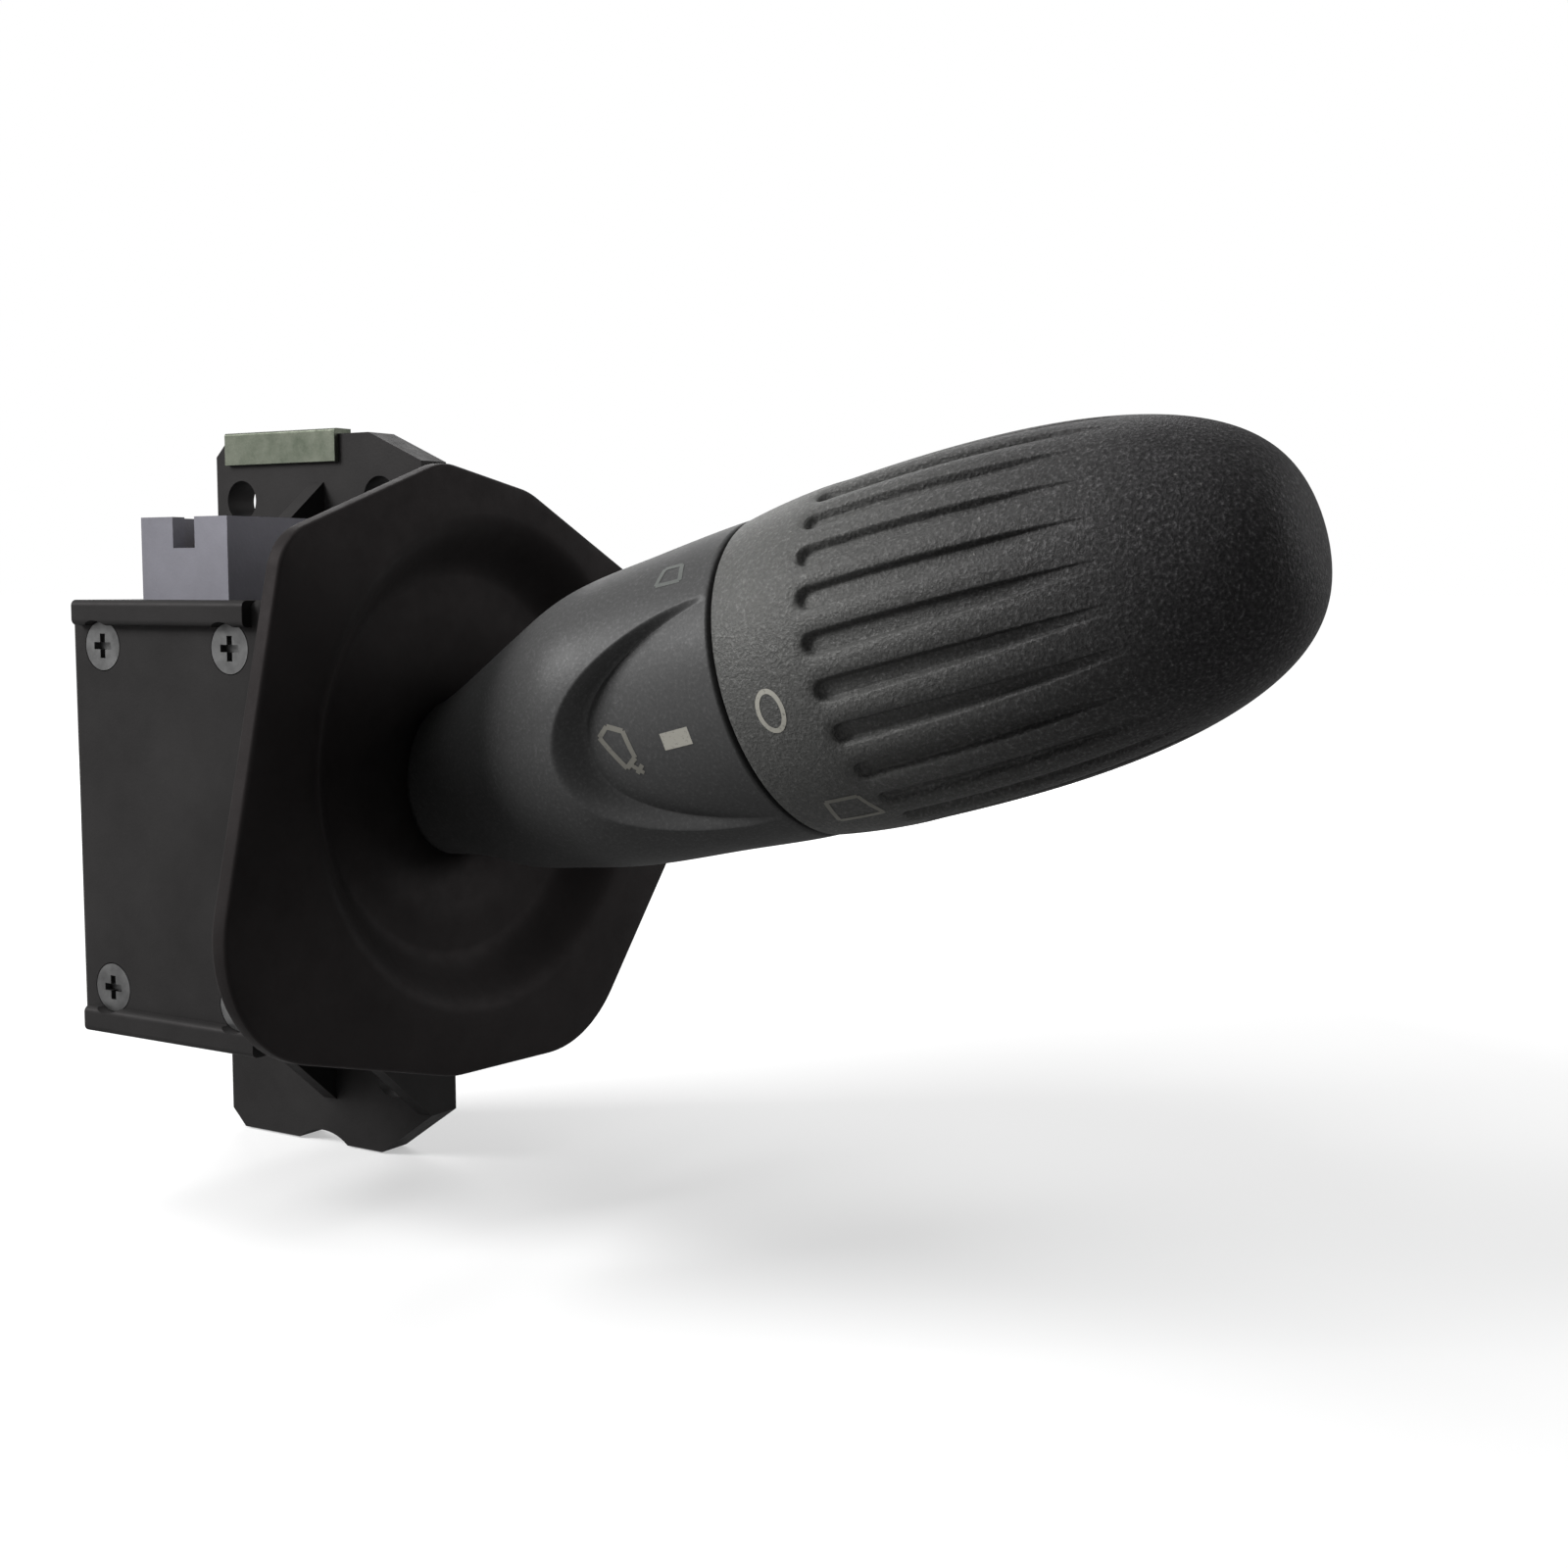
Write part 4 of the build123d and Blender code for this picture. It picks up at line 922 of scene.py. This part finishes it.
# Studio, in metres. The floor's shadow fades out between two distances from the origin
SHADOW_REACH = (0.15, 0.4)
FLOOR_DROP = 0.0002
FLOOR_REACH = 12.0
FLOOR_GLOW = 0.42
FLOOR_DULL = (0.2, 0.2, 0.2, 1.0)
FLOOR_PALE = (0.5, 0.5, 0.5, 1.0)
WORLD_LIGHT = 0.1
WHITE = (1.0, 1.0, 1.0, 1.0)


def area_light(name, direction, distance, size, power):
    """A square soft light, aimed at the seam from a direction (right, up, towards the camera)."""
    lamp = bpy.data.lights.new(name, "AREA")
    lamp.size = size
    lamp.energy = power
    made = bpy.data.objects.new(name, lamp)
    heading = Vector(direction[0] * right + direction[1] * up + direction[2] * back).normalized()
    made.location = Vector(SEAM * MM) + heading * distance
    made.rotation_mode = "QUATERNION"
    made.rotation_quaternion = heading.to_track_quat("Z", "Y")
    bpy.context.scene.collection.objects.link(made)


def shown_ray(tree):
    """1 for rays that the camera, a reflection or a clear material sends."""
    path = tree.nodes.new("ShaderNodeLightPath")
    total = path.outputs["Is Camera Ray"]
    for name in ("Is Glossy Ray", "Is Transmission Ray"):
        most = tree.nodes.new("ShaderNodeMath")
        most.operation = "MAXIMUM"
        tree.links.new(total, most.inputs[0])
        tree.links.new(path.outputs[name], most.inputs[1])
        total = most.outputs[0]
    return total


def choose(tree, hidden, shown, surface):
    """Sends one shader to the rays that light the object, and another to those that show the surface."""
    choice = tree.nodes.new("ShaderNodeMixShader")
    tree.links.new(shown_ray(tree), choice.inputs[0])
    tree.links.new(hidden.outputs[0], choice.inputs[1])
    tree.links.new(shown.outputs[0], choice.inputs[2])
    tree.links.new(choice.outputs[0], surface)


def white_world():
    """A dim room whose backdrop shows as white."""
    world = bpy.data.worlds.new("studio")
    bpy.context.scene.world = world
    world.use_nodes = True
    tree = world.node_tree
    room = tree.nodes["Background"]
    room.inputs["Strength"].default_value = WORLD_LIGHT
    room.inputs["Color"].default_value = WHITE
    backdrop = tree.nodes.new("ShaderNodeBackground")
    backdrop.inputs["Strength"].default_value = 1.0
    backdrop.inputs["Color"].default_value = WHITE
    choose(tree, room, backdrop, tree.nodes["World Output"].inputs["Surface"])


def floor_glow(tree):
    """A glow that lifts the lit floor to white, and that grows away from the object."""
    place = tree.nodes.new("ShaderNodeTexCoord")
    away = tree.nodes.new("ShaderNodeVectorMath")
    away.operation = "LENGTH"
    tree.links.new(place.outputs["Object"], away.inputs[0])
    fade = tree.nodes.new("ShaderNodeMapRange")
    fade.inputs["From Min"].default_value = SHADOW_REACH[0]
    fade.inputs["From Max"].default_value = SHADOW_REACH[1]
    fade.inputs["To Min"].default_value = FLOOR_GLOW
    fade.inputs["To Max"].default_value = 1.0
    tree.links.new(away.outputs["Value"], fade.inputs["Value"])
    glow = tree.nodes.new("ShaderNodeEmission")
    tree.links.new(fade.outputs["Result"], glow.inputs["Strength"])
    return glow


def pale_floor(height):
    """A wide floor: white to the camera apart from the shadow, darker to the light that it throws back."""
    square = ((-1, -1), (1, -1), (1, 1), (-1, 1))
    corners = [(x * FLOOR_REACH, y * FLOOR_REACH, height) for x, y in square]
    floor = new_object("floor", corners, [(0, 1, 2, 3)])
    made = bpy.data.materials.new("floor")
    made.use_nodes = True
    tree = made.node_tree
    tree.nodes.remove(tree.nodes["Principled BSDF"])
    dull = tree.nodes.new("ShaderNodeBsdfDiffuse")
    dull.inputs["Color"].default_value = FLOOR_DULL
    pale = tree.nodes.new("ShaderNodeBsdfDiffuse")
    pale.inputs["Color"].default_value = FLOOR_PALE
    both = tree.nodes.new("ShaderNodeAddShader")
    tree.links.new(pale.outputs[0], both.inputs[0])
    tree.links.new(floor_glow(tree).outputs[0], both.inputs[1])
    choose(tree, dull, both, tree.nodes["Material Output"].inputs["Surface"])
    give(floor, made)


area_light("key", (-0.84, 0.44, 0.2), distance=0.5, size=0.22, power=3.3)
area_light("top", (-0.3, 0.92, 0.22), distance=0.5, size=0.26, power=1.0)
area_light("back", (-0.1, 0.5, -0.86), distance=0.6, size=0.4, power=2.2)
area_light("right", (0.88, 0.35, -0.3), distance=0.6, size=0.4, power=1.3)
white_world()
pale_floor(cad_low.z - FLOOR_DROP)
bpy.context.scene.view_settings.view_transform = "Standard"
